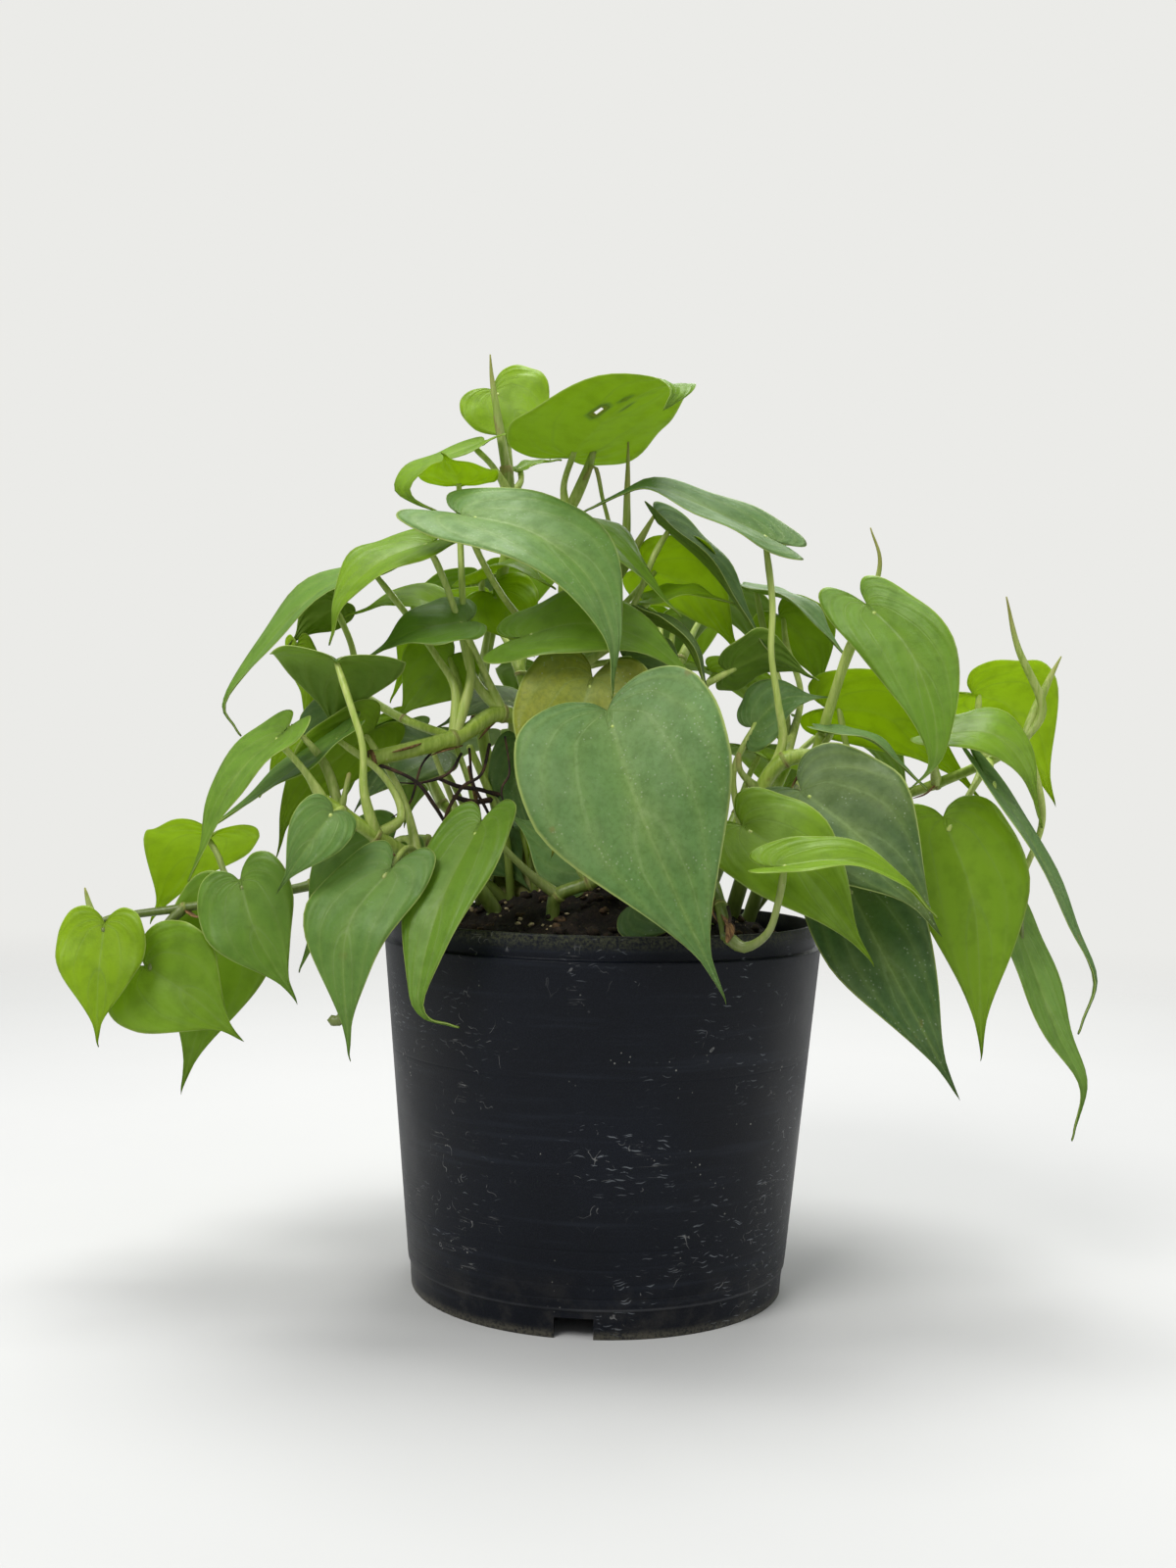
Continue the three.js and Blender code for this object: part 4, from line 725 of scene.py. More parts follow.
def leaf_grid():
    """The points of one face of a leaf as (side, share across, outline place), its faces and its edge."""
    spots = [(0, 0, 0), (0, 0, 1)]
    outline, _ = curve([(a, b, 0) for a, b in HALF_OUTLINE], np.linspace(0, 1, LEAF_ROWS + 1))
    on_rib = []
    for row in range(1, LEAF_ROWS):
        if outline[row][1] > VEIN_START:
            on_rib.append(len(spots))
            spots.append((0, 0, row / LEAF_ROWS))
        else:
            on_rib.append(0)
    faces, edges = [], []
    for side in (1, -1):
        grid = [[0] * (LEAF_COLUMNS + 1)]
        for row in range(1, LEAF_ROWS):
            line = [on_rib[row - 1]]
            for column in range(1, LEAF_COLUMNS + 1):
                line.append(len(spots))
                spots.append((side, (column / LEAF_COLUMNS) ** COLUMN_POWER, row / LEAF_ROWS))
            grid.append(line)
        grid.append([1] * (LEAF_COLUMNS + 1))
        for row in range(LEAF_ROWS):
            for column in range(LEAF_COLUMNS):
                near, far = grid[row][column:column + 2], grid[row + 1][column:column + 2]
                ring = without_repeats(near + far[::-1])
                if len(ring) > 2:
                    faces.append(ring if side > 0 else ring[::-1])
        margin = [line[-1] for line in grid]
        edges.append(margin if side > 0 else margin[::-1])
    return np.array(spots, float), faces, edges


GRID_SPOTS, GRID_FACES, GRID_EDGES = leaf_grid()


def drawn_in(across, along, taper):
    """How far a leaf reaches across at a share along its length, once its tip is drawn in."""
    share = np.clip((along - TAPER_START) / (TAPER_END - TAPER_START), 0, 1)
    return across * (1 - TAPER * taper * share**TAPER_POWER)


def open_hole(spot, across, place, faces, slots):
    """Opens a small hole through a leaf near a spot, with a wall round it. Gives the points of its rim."""
    count = len(across)
    each = len(GRID_FACES)
    away = [
        np.hypot(across[list(face)].mean() - spot[0], place[list(face)].mean() - spot[1])
        for face in GRID_FACES
    ]
    chosen = int(np.argmin(away))
    ring = list(GRID_FACES[chosen])
    for k, point in enumerate(ring):
        before = ring[k - 1]
        faces.append((before, point, point + count, before + count))
        slots.append(0)
    for number in (chosen + each, chosen):
        del faces[number]
        del slots[number]
    return ring + [point + count for point in ring]


def add_blade(sculpture, row, seed):
    """A leaf blade, with a grooved midrib, faint quilting between its veins and a thin edge."""
    surface = LeafSurface(row)
    side, share, place = GRID_SPOTS.T
    outline, _ = curve([(a, b, 0) for a, b in HALF_OUTLINE], place)
    along = outline[:, 1]
    reach = drawn_in(outline[:, 0], along, row.get("taper", 1))
    on_rib = np.maximum(0, (along - VEIN_START) / (1 - VEIN_START))
    across = side * share * reach
    along = on_rib + (along - on_rib) * share
    rib_points = side == 0
    along[rib_points] = on_rib[rib_points]
    along = along + DRIP / surface.length * np.clip((along - DRIP_START) / 0.2, 0, 1) ** 2
    centre = surface.at(across, along)
    normal = surface.normal(across, along)
    half = (BLADE_EDGE + (BLADE - BLADE_EDGE) * np.sqrt(np.maximum(0, 1 - share**2))) / 2
    fade = np.sqrt(np.clip(1 - along, 0, 1))
    groove = np.exp(-((across * surface.half_width / GROOVE_WIDTH) ** 2)) * fade
    quilt = QUILT * np.cos(2 * np.pi * (VEINS * (place - VEIN_BEND * share**2))) * np.sin(np.pi * share)
    edge_wave = EDGE_WAVE * share**3 * np.sin(2 * np.pi * (EDGE_WAVES * place + surface.phase))
    shift = quilt + edge_wave * np.sin(np.pi * np.clip(place, 0, 1))
    upper = centre + (half + shift - GROOVE_ABOVE * groove)[:, None] * normal
    lower = centre + (-half + shift - GROOVE_BELOW * groove)[:, None] * normal
    count = len(centre)
    faces = [tuple(face) for face in GRID_FACES]
    slots = [0] * len(faces)
    faces += [tuple(n + count for n in reversed(face)) for face in GRID_FACES]
    slots += [1] * len(GRID_FACES)
    for margin in GRID_EDGES:
        for a, b in zip(margin, margin[1:]):
            faces.append((b, a, a + count, b + count))
            slots.append(0)
    uv = np.column_stack([0.5 + 0.5 * side * share, place])
    ages = np.full(2 * count, float(row["age"]))
    for spot in row.get("dots", []):
        nearest = np.argmin(np.hypot(side * share - spot[0], place - spot[1]))
        ages[[nearest, nearest + count]] = DOT_AGE
    if "hole" in row:
        rim = open_hole(row["hole"], side * share, place, faces, slots)
        ages[rim] = HOLE_RIM_AGE
    sculpture.add(np.vstack([upper, lower]), faces, slots, np.vstack([uv, uv]), seed, ages)


def add_tube(sculpture, points, radii, seed, slot, sides, step, flat=1.0, bump=None, tip=0.8):
    """A tube through points, whose radii are given at even shares of its length. Its ends stand out."""
    _, length = even_places(points, 2)
    rings = max(4, int(length / step) + 1)
    places, length = even_places(points, rings)
    centre, tangent = curve(points, places)
    share = np.linspace(0, 1, rings)
    radius = np.interp(share, np.linspace(0, 1, len(radii)), radii)
    if bump is not None:
        radius = radius * bump(share * length)
    ring_points = []
    uvs = []
    sideways = np.array([0.3, 1.0, 0.2])
    for i in range(rings):
        sideways = unit(sideways - tangent[i] * np.dot(sideways, tangent[i]))
        other = np.cross(tangent[i], sideways)
        angle = np.linspace(0, 2 * np.pi, sides, endpoint=False)
        round_part = np.outer(np.cos(angle), sideways) + flat * np.outer(np.sin(angle), other)
        ring_points.append(centre[i] + radius[i] * round_part)
        uvs.append(np.column_stack([angle / (2 * np.pi), np.full(sides, share[i])]))
    ends = [centre[0] - tangent[0] * radius[0] * 0.5, centre[-1] + tangent[-1] * radius[-1] * tip]
    faces = []
    for i in range(rings - 1):
        for k in range(sides):
            a, b = i * sides + k, i * sides + (k + 1) % sides
            faces.append((a, b, b + sides, a + sides))
    first, last = rings * sides, rings * sides + 1
    for k in range(sides):
        faces.append((first, (k + 1) % sides, k))
        faces.append((last, (rings - 1) * sides + k, (rings - 1) * sides + (k + 1) % sides))
    uvs.append(np.array([[0.5, 0.0], [0.5, 1.0]]))
    sculpture.add(np.vstack(ring_points + [ends]), faces, [slot] * len(faces), np.vstack(uvs), seed)


def stem_points(row, stems):
    """A stem grows straight up through its hole in the soil, then along its path."""
    if "root" not in row:
        parent, point = row["on"]
        return [stems[parent]["path"][point], *row["path"]]
    x, y = row["root"]
    surface = float(soil_height(x, y))
    return [np.array([x, y, z]) for z in (ROOT_HEIGHT, surface - 2, surface + 4)] + row["path"]


def node_swellings(points, path):
    """How much thicker a stem is near each of its nodes, by the distance along it."""
    centre, _ = curve(points, np.linspace(0, 1, STEM_SAMPLES))
    reached = np.concatenate([[0], np.cumsum(np.linalg.norm(np.diff(centre, axis=0), axis=1))])
    nodes = [reached[np.argmin(np.linalg.norm(centre - node, axis=1))] for node in path]

    def bump(distance):
        thicker = sum(np.exp(-(((distance - node) / SWELLING_LENGTH) ** 2)) for node in nodes)
        return 1 + SWELLING * thicker

    return bump


def add_stem(sculpture, row, stems, seed):
    """A stem, with a pale ring scar at each of its nodes."""
    points = stem_points(row, stems)
    bump = node_swellings(points, row["path"])
    radii = [row["radius"], row["end"]]
    add_tube(sculpture, points, radii, seed, STEM, sides=14, step=1.6, bump=bump, tip=0.3)
    spots = row["path"][:-1]
    for i, node in enumerate(spots):
        _, tangent = curve(points, np.array([(len(points) - len(row["path"]) + i) / (len(points) - 1)]))
        thick = row["radius"] + (row["end"] - row["radius"]) * (i + 1) / (len(spots) + 1)
        ends = [node - tangent[0] * SCAR_LENGTH, node + tangent[0] * SCAR_LENGTH]
        radii = [thick * share for share in SCAR_SHAPE]
        add_tube(sculpture, ends, radii, seed, SCAR, sides=14, step=0.5, tip=0)


def add_cut_end(sculpture, row, stems, seed):
    """The brown rim and the hollow of a stem that was cut across."""
    centre, tangent = curve(stem_points(row, stems), np.array([1.0]))
    ends = [centre[0] - tangent[0] * CUT_DEPTH, centre[0] + tangent[0] * CUT_RISE]
    radii = [row["end"] * share for share in CUT_SHAPE]
    add_tube(sculpture, ends, radii, seed, BROWN, sides=18, step=0.4, tip=-0.35)


def add_bit(sculpture, row, seed):
    """A small thing on a vine, as BITS says."""
    made = dict(BITS[row["kind"]])
    radii = [row["radius"] * share for share in made.pop("shape")]
    if row["skin"] is not None:
        made["slot"] = row["skin"]
    add_tube(sculpture, row["path"], radii, seed, **made)


def add_petiole(sculpture, start, row, seed):
    """A petiole, wider in its sheath at the foot and a little thicker again where it meets the blade."""
    surface = LeafSurface(row)
    joint = np.array([0.0]), np.array([JOINT_PLACE])
    under = surface.at(*joint)[0] - JOINT_DEPTH * surface.normal(*joint)[0]
    points = [start, *row["stalk"], under]
    foot, top = PETIOLE_FOOT_RADIUS, PETIOLE_RADIUS
    radii = [foot * 1.1, foot, foot * 0.8, top * 1.1, top, top, top, top * 1.1, top * 0.8]
    add_tube(sculpture, points, radii, seed, PETIOLE, sides=10, step=2.4)


def add_spike(sculpture, start, row, seed):
    """A rolled young leaf or a sheath: slim, a little flat, and drawn out to a point."""
    points = [start, *row["path"]]
    radius, end = row["radius"], row["end"] or SPIKE_POINT
    middle = (radius + end) / 2 if row["end"] else radius
    radii = [radius * 0.8, radius * 1.05, middle, middle * 0.85, (middle + end) / 2, end]
    add_tube(sculpture, points, radii, seed, SPIKE, sides=12, step=2, flat=SPIKE_FLATNESS)


def build_vine(node, rows, index, leaf_materials, stem_materials):
    """The leaves of a vine as one piece, and its stems, petioles and spikes as another."""
    blades, stalks = Sculpture(), Sculpture()
    rng = random.Random(400 + index)
    stems = every(rows, "stem")
    for row in stems:
        add_stem(stalks, row, stems, rng.random())
    for row in every(rows, "spike"):
        number, point = row["on"]
        add_spike(stalks, stems[number]["path"][point], row, rng.random())
    for row in every(rows, "leaf"):
        number, point = row["on"]
        seed = rng.random()
        add_petiole(stalks, stems[number]["path"][point], row, seed)
        add_blade(blades, row, seed)
    for row in every(rows, "root") + every(rows, "sheath"):
        add_bit(stalks, row, rng.random())
    for row in stems:
        if "cut" in row:
            add_cut_end(stalks, row, stems, rng.random())
    for row in every(rows, "stalk") + every(rows, "hanging"):
        add_bit(stalks, row, rng.random())
    name = node.replace("vine_", "")
    blades.finish(f"{name}_leaves", leaf_materials, node, "leaf")
    stalks.finish(f"{name}_stems", stem_materials, node, "leaf")


# Materials


def srgb(red, green, blue):
    """A colour from 0 to 255 as the renderer's linear values."""
    def linear(value):
        share = value / 255
        return share / 12.92 if share <= 0.04045 else ((share + 0.055) / 1.055) ** 2.4

    return (linear(red), linear(green), linear(blue), 1)


class Recipe:
    """A material written as a chain of nodes. Inputs may be numbers, colours or other nodes' outputs."""

    def __init__(self, name):
        self.material = bpy.data.materials.new(name)
        self.material.use_nodes = True
        self.tree = self.material.node_tree
        self.tree.nodes.clear()
        self.place = self.node("ShaderNodeTexCoord").outputs["Object"]

    def node(self, kind, **settings):
        node = self.tree.nodes.new(kind)
        for name, value in settings.items():
            setattr(node, name, value)
        return node

    def set(self, socket, value):
        if isinstance(value, bpy.types.NodeSocket):
            self.tree.links.new(value, socket)
        else:
            socket.default_value = value

    def attribute(self, name):
        return self.node("ShaderNodeAttribute", attribute_name=name).outputs["Fac"]

    def along_piece(self):
        """How far round or across a leaf or stem a point is, and how far along it, both from 0 to 1."""
        return self.parts(self.node("ShaderNodeUVMap", uv_map="blade").outputs["UV"])[:2]

    def math(self, operation, a, b=0.0):
        node = self.node("ShaderNodeMath", operation=operation)
        self.set(node.inputs[0], a)
        self.set(node.inputs[1], b)
        return node.outputs[0]

    def plus(self, a, b):
        return self.math("ADD", a, b)

    def minus(self, a, b):
        return self.math("SUBTRACT", a, b)

    def times(self, a, b):
        return self.math("MULTIPLY", a, b)

    def apart(self, a, b):
        """How far apart two values are."""
        return self.math("ABSOLUTE", self.minus(a, b))

    def swing(self, value, width):
        """A value from 0 to 1, as one from half the width below 0 to half the width above."""
        return self.times(self.minus(value, 0.5), width)

    def fit(self, value, low, high, start=0.0, end=1.0):
        """A value mapped smoothly from low..high to start..end, and held at the ends."""
        node = self.node("ShaderNodeMapRange", interpolation_type="SMOOTHSTEP")
        for socket, number in zip(node.inputs, (value, low, high, start, end)):
            self.set(socket, number)
        return node.outputs[0]

    def fade(self, value, low, high):
        """1 up to low, 0 from high on."""
        return self.fit(value, low, high, 1.0, 0.0)

    def mix(self, share, a, b, blend="MIX"):
        node = self.node("ShaderNodeMix", data_type="RGBA", blend_type=blend)
        self.set(node.inputs[0], share)
        self.set(node.inputs[6], a)
        self.set(node.inputs[7], b)
        return node.outputs[2]

    def tint(self, colour, mask, most, shade):
        """The colour turned toward a shade, by no more than most."""
        return self.mix(self.times(mask, most), colour, shade)

    def ramp(self, share, stops):
        node = self.node("ShaderNodeValToRGB")
        elements = node.color_ramp.elements
        for i, (position, colour) in enumerate(stops):
            element = elements[i] if i < 2 else elements.new(position)
            element.position = position
            element.color = colour
        self.set(node.inputs[0], share)
        return node.outputs[0]

    def noise(self, scale, detail=3, roughness=0.5, place=None):
        node = self.node("ShaderNodeTexNoise")
        self.set(node.inputs["Vector"], place or self.place)
        node.inputs["Scale"].default_value = scale
        node.inputs["Detail"].default_value = detail
        node.inputs["Roughness"].default_value = roughness
        return node.outputs[0]

    def cells(self, scale, place=None):
        node = self.node("ShaderNodeTexVoronoi")
        self.set(node.inputs["Vector"], place or self.place)
        node.inputs["Scale"].default_value = scale
        return node.outputs["Distance"]

    def specks(self, scale, core, edge, crowd, low, high, place=None):
        """Small specks, solid within core and gone from edge on, where the crowd is above low to high."""
        return self.times(self.fade(self.cells(scale, place), core, edge), self.fit(crowd, low, high))

    def streaks(self, level, upright, detail=3, roughness=0.6):
        """Noise drawn out one way: how many streaks there are to a metre, level and upright."""
        node = self.node("ShaderNodeMapping")
        self.set(node.inputs["Vector"], self.place)
        node.inputs["Scale"].default_value = (level, level, upright)
        return self.noise(1.0, detail, roughness, node.outputs[0])

    def joined(self, x, y, z):
        node = self.node("ShaderNodeCombineXYZ")
        for socket, value in zip(node.inputs, (x, y, z)):
            self.set(socket, value)
        return node.outputs[0]

    def parts(self, vector):
        node = self.node("ShaderNodeSeparateXYZ")
        self.set(node.inputs[0], vector)
        return node.outputs

    def bump(self, height, distance, strength=1.0):
        node = self.node("ShaderNodeBump")
        node.inputs["Strength"].default_value = strength
        node.inputs["Distance"].default_value = distance
        self.set(node.inputs["Height"], height)
        return node.outputs[0]

    def surface(self, colour, roughness, normal=None, specular=0.5):
        node = self.node("ShaderNodeBsdfPrincipled")
        self.set(node.inputs["Base Color"], colour)
        self.set(node.inputs["Roughness"], roughness)
        node.inputs["Specular IOR Level"].default_value = specular
        if normal is not None:
            self.set(node.inputs["Normal"], normal)
        return node.outputs[0]

    def blended(self, share, first, second):
        """Two shaders, the second by a share."""
        node = self.node("ShaderNodeMixShader")
        for socket, value in zip(node.inputs, (share, first, second)):
            self.set(socket, value)
        return node.outputs[0]

    def glowing_through(self, shader, colour, share, normal):
        """A thin leaf's shader: part of the light that falls on it comes through."""
        through = self.node("ShaderNodeBsdfTranslucent")
        self.set(through.inputs["Color"], colour)
        self.set(through.inputs["Normal"], normal)
        return self.blended(share, shader, through.outputs[0])

    def finish(self, shader):
        output = self.node("ShaderNodeOutputMaterial")
        self.set(output.inputs["Surface"], shader)
        return self.material


LIME = srgb(158, 190, 28)
BRIGHT = srgb(128, 166, 38)
MIDDLE = srgb(112, 152, 56)
DUSTY = srgb(102, 140, 74)
DARK = srgb(58, 92, 42)
AGEING = srgb(158, 164, 36)
BROWNED = srgb(104, 78, 36)

# The colours of a leaf's skin by its age, as shares of the oldest age
OLDEST = 1.6
LEAF_STOPS = [
    (0.0, LIME),
    (0.22, BRIGHT),
    (0.34, MIDDLE),
    (0.51, DUSTY),
    (0.6, DARK),
    (0.81, AGEING),
    (1.0, BROWNED),
]
PALE_GREEN = srgb(156, 178, 84)


def leaf_pattern(recipe):
    """Where a leaf's veins, midrib, paler middle, margin and tip are, each as a value from 0 to 1."""
    across, along = recipe.along_piece()
    share = recipe.apart(recipe.times(across, 2.0), 1.0)
    wobble = recipe.swing(recipe.noise(40, 2), 0.05)
    bend = recipe.times(recipe.times(share, share), VEIN_BEND)
    course = recipe.minus(recipe.plus(along, wobble), bend)
    turn = recipe.math("FRACT", recipe.times(course, float(VEINS)))
    off = recipe.apart(turn, 0.5)
    beyond_joint = recipe.fit(along, 0.3, 0.5)
    midrib = recipe.times(recipe.fade(share, 0.008, 0.04), beyond_joint)
    band = recipe.times(recipe.fade(share, 0.02, 0.2), beyond_joint)
    joint = recipe.times(recipe.fade(share, 0.0, 0.4), recipe.fade(along, 0.4, 0.66))
    return dict(
        vein=recipe.times(recipe.fade(off, 0.012, 0.07), recipe.fade(share, 0.35, 0.95)),
        soft_vein=recipe.fade(off, 0.0, 0.4),
        midrib=recipe.times(midrib, recipe.fit(along, 0.6, 1.0, 1.0, 0.35)),
        middle=recipe.math("MAXIMUM", band, joint),
        margin=recipe.fit(share, 0.965, 0.995),
        tip=recipe.fit(along, 0.84, 1.0),
    )


def leaf_colour(recipe, age, worn, pattern, mottle):
    """The colour of a leaf by its age, paler along its veins and darker in patches."""
    aged = recipe.plus(age, recipe.swing(recipe.noise(22, 3, 0.55), 0.14))
    aged = recipe.plus(aged, recipe.swing(recipe.attribute("seed"), 0.1))
    colour = recipe.ramp(recipe.math("DIVIDE", aged, OLDEST), LEAF_STOPS)
    clear = recipe.fit(age, 0.3, 0.8, 0.12, 0.3)
    clear = recipe.times(clear, recipe.fit(age, 0.84, 0.95, 1.0, 0.6))
    colour = recipe.tint(colour, pattern["soft_vein"], 0.14, PALE_GREEN)
    colour = recipe.tint(colour, pattern["middle"], 0.2, PALE_GREEN)
    colour = recipe.tint(colour, pattern["vein"], clear, srgb(154, 180, 116))
    colour = recipe.tint(colour, pattern["midrib"], 0.28, srgb(156, 180, 108))
    colour = recipe.tint(colour, pattern["tip"], 0.3, srgb(146, 174, 64))
    shade = recipe.mix(1.0, colour, srgb(176, 190, 150), "MULTIPLY")
    colour = recipe.mix(recipe.fit(mottle, 0.42, 0.7, 0.0, 0.4), colour, shade)
    fine = recipe.fit(recipe.noise(650, 3, 0.6), 0.45, 0.65, 0.0, 0.4)
    return recipe.tint(colour, fine, worn, shade)


def dusted(recipe, colour, worn):
    """The colour with the dust and pale specks that come with age."""
    dust = recipe.times(recipe.fit(recipe.noise(48, 5, 0.7), 0.36, 0.74), worn)
    colour = recipe.tint(colour, dust, 0.26, srgb(146, 168, 116))
    speck = recipe.times(recipe.specks(620, 0.1, 0.26, recipe.noise(90, 3), 0.5, 0.6), worn)
    return recipe.tint(colour, speck, 0.45, srgb(190, 202, 160))


def leaf_relief(recipe, pattern, mottle):
    """The blade's fine relief: swollen between its veins, sunk at them, and grainy."""
    height = recipe.plus(pattern["soft_vein"], recipe.times(recipe.noise(900, 2), 0.3))
    height = recipe.minus(height, recipe.times(pattern["vein"], 0.25))
    height = recipe.plus(height, recipe.times(mottle, 0.8))
    return recipe.bump(height, 0.00028, 0.8)


def light_through(recipe, age, pattern, mottle):
    """The colour of the light that comes through a leaf."""
    colour = recipe.tint(srgb(200, 224, 18), age, 0.5, srgb(80, 124, 0))
    colour = recipe.tint(colour, pattern["vein"], 0.15, srgb(120, 150, 6))
    return recipe.mix(recipe.fit(mottle, 0.42, 0.7, 0.0, 0.15), colour, srgb(126, 150, 0))


def leaf_material(name, underside):
    """Leaf skin, from its age: lime and satin when young, dusty grey-green later, ochre at the end."""
    recipe = Recipe(name)
    age = recipe.attribute("age")
    worn = recipe.fit(age, 0.45, 0.85)
    pattern = leaf_pattern(recipe)
    mottle = recipe.noise(150, 4, 0.6)
    colour = leaf_colour(recipe, age, worn, pattern, mottle)
    if underside:
        # The underside is paler and yellower: partly its own paler colour, partly a painted glow of light
        # coming through from behind.
        colour = recipe.mix(0.4, colour, srgb(128, 150, 44))
        colour = recipe.tint(colour, pattern["vein"], 0.15, srgb(112, 138, 40))
        roughness = 0.65
        specular = 0.2
    else:
        colour = dusted(recipe, colour, worn)
        roughness = recipe.plus(recipe.times(worn, 0.12), recipe.fit(mottle, 0.3, 0.7, 0.38, 0.5))
        specular = 0.4
    spot = recipe.times(recipe.fit(recipe.noise(95, 2, 0.4), 0.72, 0.76), worn)
    colour = recipe.tint(colour, spot, 0.5, srgb(132, 112, 52))
    # Painted highlight: a pale line along the margin, where the edge catches the light.
    colour = recipe.tint(colour, pattern["margin"], 0.8, srgb(186, 202, 112))
    normal = leaf_relief(recipe, pattern, mottle)
    shader = recipe.surface(colour, roughness, normal, specular)
    through = light_through(recipe, age, pattern, mottle)
    share = recipe.fit(age, 0.0, 1.0, 0.55, 0.3)
    return recipe.finish(recipe.glowing_through(shader, through, share, normal))


# Stems are painted darker near the soil, as painted shade under the leaves: up to the first of these
# heights, and not beyond the second, in metres
STEM_SHADE = (0.14, 0.185)


def stem_material(name, tone, blush):
    """Stems and petioles: smooth green with fine lengthways streaks, pale specks and brown scars."""
    recipe = Recipe(name)
    streaks = recipe.streaks(700, 60)
    patches = recipe.noise(45, 3)
    colour = recipe.mix(recipe.fit(streaks, 0.35, 0.7), tone, blush)
    colour = recipe.mix(recipe.fit(patches, 0.45, 0.75, 0.0, 0.5), colour, srgb(142, 158, 70))
    speck = recipe.specks(420, 0.1, 0.22, recipe.noise(130, 2), 0.55, 0.62)
    colour = recipe.tint(colour, speck, 0.6, srgb(196, 196, 140))
    scar = recipe.fit(recipe.noise(70, 4, 0.7), 0.66, 0.74)
    colour = recipe.tint(colour, scar, 0.35, srgb(110, 84, 46))
    colour = recipe.tint(colour, recipe.attribute("seed"), 0.18, srgb(96, 116, 40))
    _, _, z = recipe.parts(recipe.place)
    # Painted shade: darker toward the soil, where the leaves shade the stems.
    colour = recipe.tint(colour, recipe.fade(z, *STEM_SHADE), 0.75, srgb(66, 78, 36))
    normal = recipe.bump(streaks, 0.0003, 0.6)
    roughness = recipe.fit(patches, 0.3, 0.7, 0.36, 0.52)
    return recipe.finish(recipe.surface(colour, roughness, normal, 0.5))


def spike_material():
    """Rolled young leaves and sheaths: pale tan-green, drying to brown toward the tip."""
    recipe = Recipe("young sheath")
    _, along = recipe.along_piece()
    streaks = recipe.streaks(900, 45)
    colour = recipe.mix(recipe.fit(streaks, 0.35, 0.7), srgb(184, 196, 118), srgb(142, 168, 70))
    dry = recipe.plus(along, recipe.times(recipe.noise(80, 2), 0.4))
    colour = recipe.mix(recipe.fit(dry, 0.85, 1.25, 0.0, 0.75), colour, srgb(156, 136, 82))
    normal = recipe.bump(streaks, 0.0004, 0.7)
    shader = recipe.surface(colour, 0.55, normal, 0.4)
    return recipe.finish(recipe.glowing_through(shader, srgb(190, 204, 96), 0.36, normal))


def brown_material():
    """Dry papery sheaths and cut ends."""
    recipe = Recipe("dry brown")
    streaks = recipe.streaks(800, 90, 4, 0.7)
    patches = recipe.noise(160, 3)
    colour = recipe.mix(recipe.fit(streaks, 0.35, 0.68), srgb(86, 58, 34), srgb(150, 116, 72))
    colour = recipe.mix(recipe.fit(patches, 0.5, 0.7, 0.0, 0.6), colour, srgb(60, 40, 28))
    normal = recipe.bump(streaks, 0.0005, 0.8)
    return recipe.finish(recipe.surface(colour, 0.75, normal, 0.3))


def scar_material():
    """The ring scars at the nodes of a stem: green, with a thin pale and brown edge."""
    recipe = Recipe("node scar")
    _, along = recipe.along_piece()
    patches = recipe.noise(260, 3, 0.6)
    colour = recipe.mix(recipe.fit(patches, 0.35, 0.65), srgb(128, 146, 58), srgb(158, 160, 92))
    line = recipe.fade(recipe.apart(along, 0.5), 0.05, 0.3)
    line = recipe.times(line, recipe.fit(patches, 0.4, 0.6, 0.3, 1.0))
    colour = recipe.tint(colour, line, 0.75, srgb(112, 88, 48))
    normal = recipe.bump(patches, 0.0003, 0.8)
    return recipe.finish(recipe.surface(colour, 0.6, normal, 0.4))


def root_material():
    """Thin aerial roots: nearly black, a little brown at the worn places."""
    recipe = Recipe("aerial root")
    patches = recipe.noise(220, 3)
    colour = recipe.mix(recipe.fit(patches, 0.4, 0.7), srgb(38, 28, 24), srgb(86, 62, 44))
    normal = recipe.bump(patches, 0.0004, 0.8)
    return recipe.finish(recipe.surface(colour, 0.7, normal, 0.3))


def nicks(recipe):
    """Short, slightly bent nicks in the plastic, level, thin and pale. There are more toward the right."""
    x, y, z = recipe.parts(recipe.place)
    wave = recipe.swing(recipe.noise(130, 2), NICK_WAVE)
    flat = recipe.joined(x, y, recipe.times(recipe.plus(z, wave), NICK_FLATNESS))
    nick = recipe.specks(NICK_SCALE, 0.12, 0.27, recipe.noise(340, 2), 0.42, 0.54, flat)
    crowd = recipe.plus(recipe.noise(24, 3), recipe.fit(x, -0.05, 0.05, -0.06, 0.04))
    return recipe.times(nick, recipe.fit(crowd, 0.46, 0.66))


def scratches(recipe):
    """Thin scratches in patches: some wander and some are level."""
    wander = recipe.apart(recipe.noise(75, 2, 0.6), 0.5)
    wander = recipe.times(recipe.fade(wander, 0.0, 0.006), recipe.fit(recipe.noise(240, 2), 0.52, 0.6))
    level = recipe.apart(recipe.streaks(30, 420, 2, 0.5), 0.5)
    level = recipe.times(recipe.fade(level, 0.0, 0.008), recipe.fit(recipe.noise(60, 2), 0.56, 0.66))
    patches = recipe.fit(recipe.noise(26, 3), 0.5, 0.62)
    return recipe.times(recipe.math("MAXIMUM", wander, level), patches)


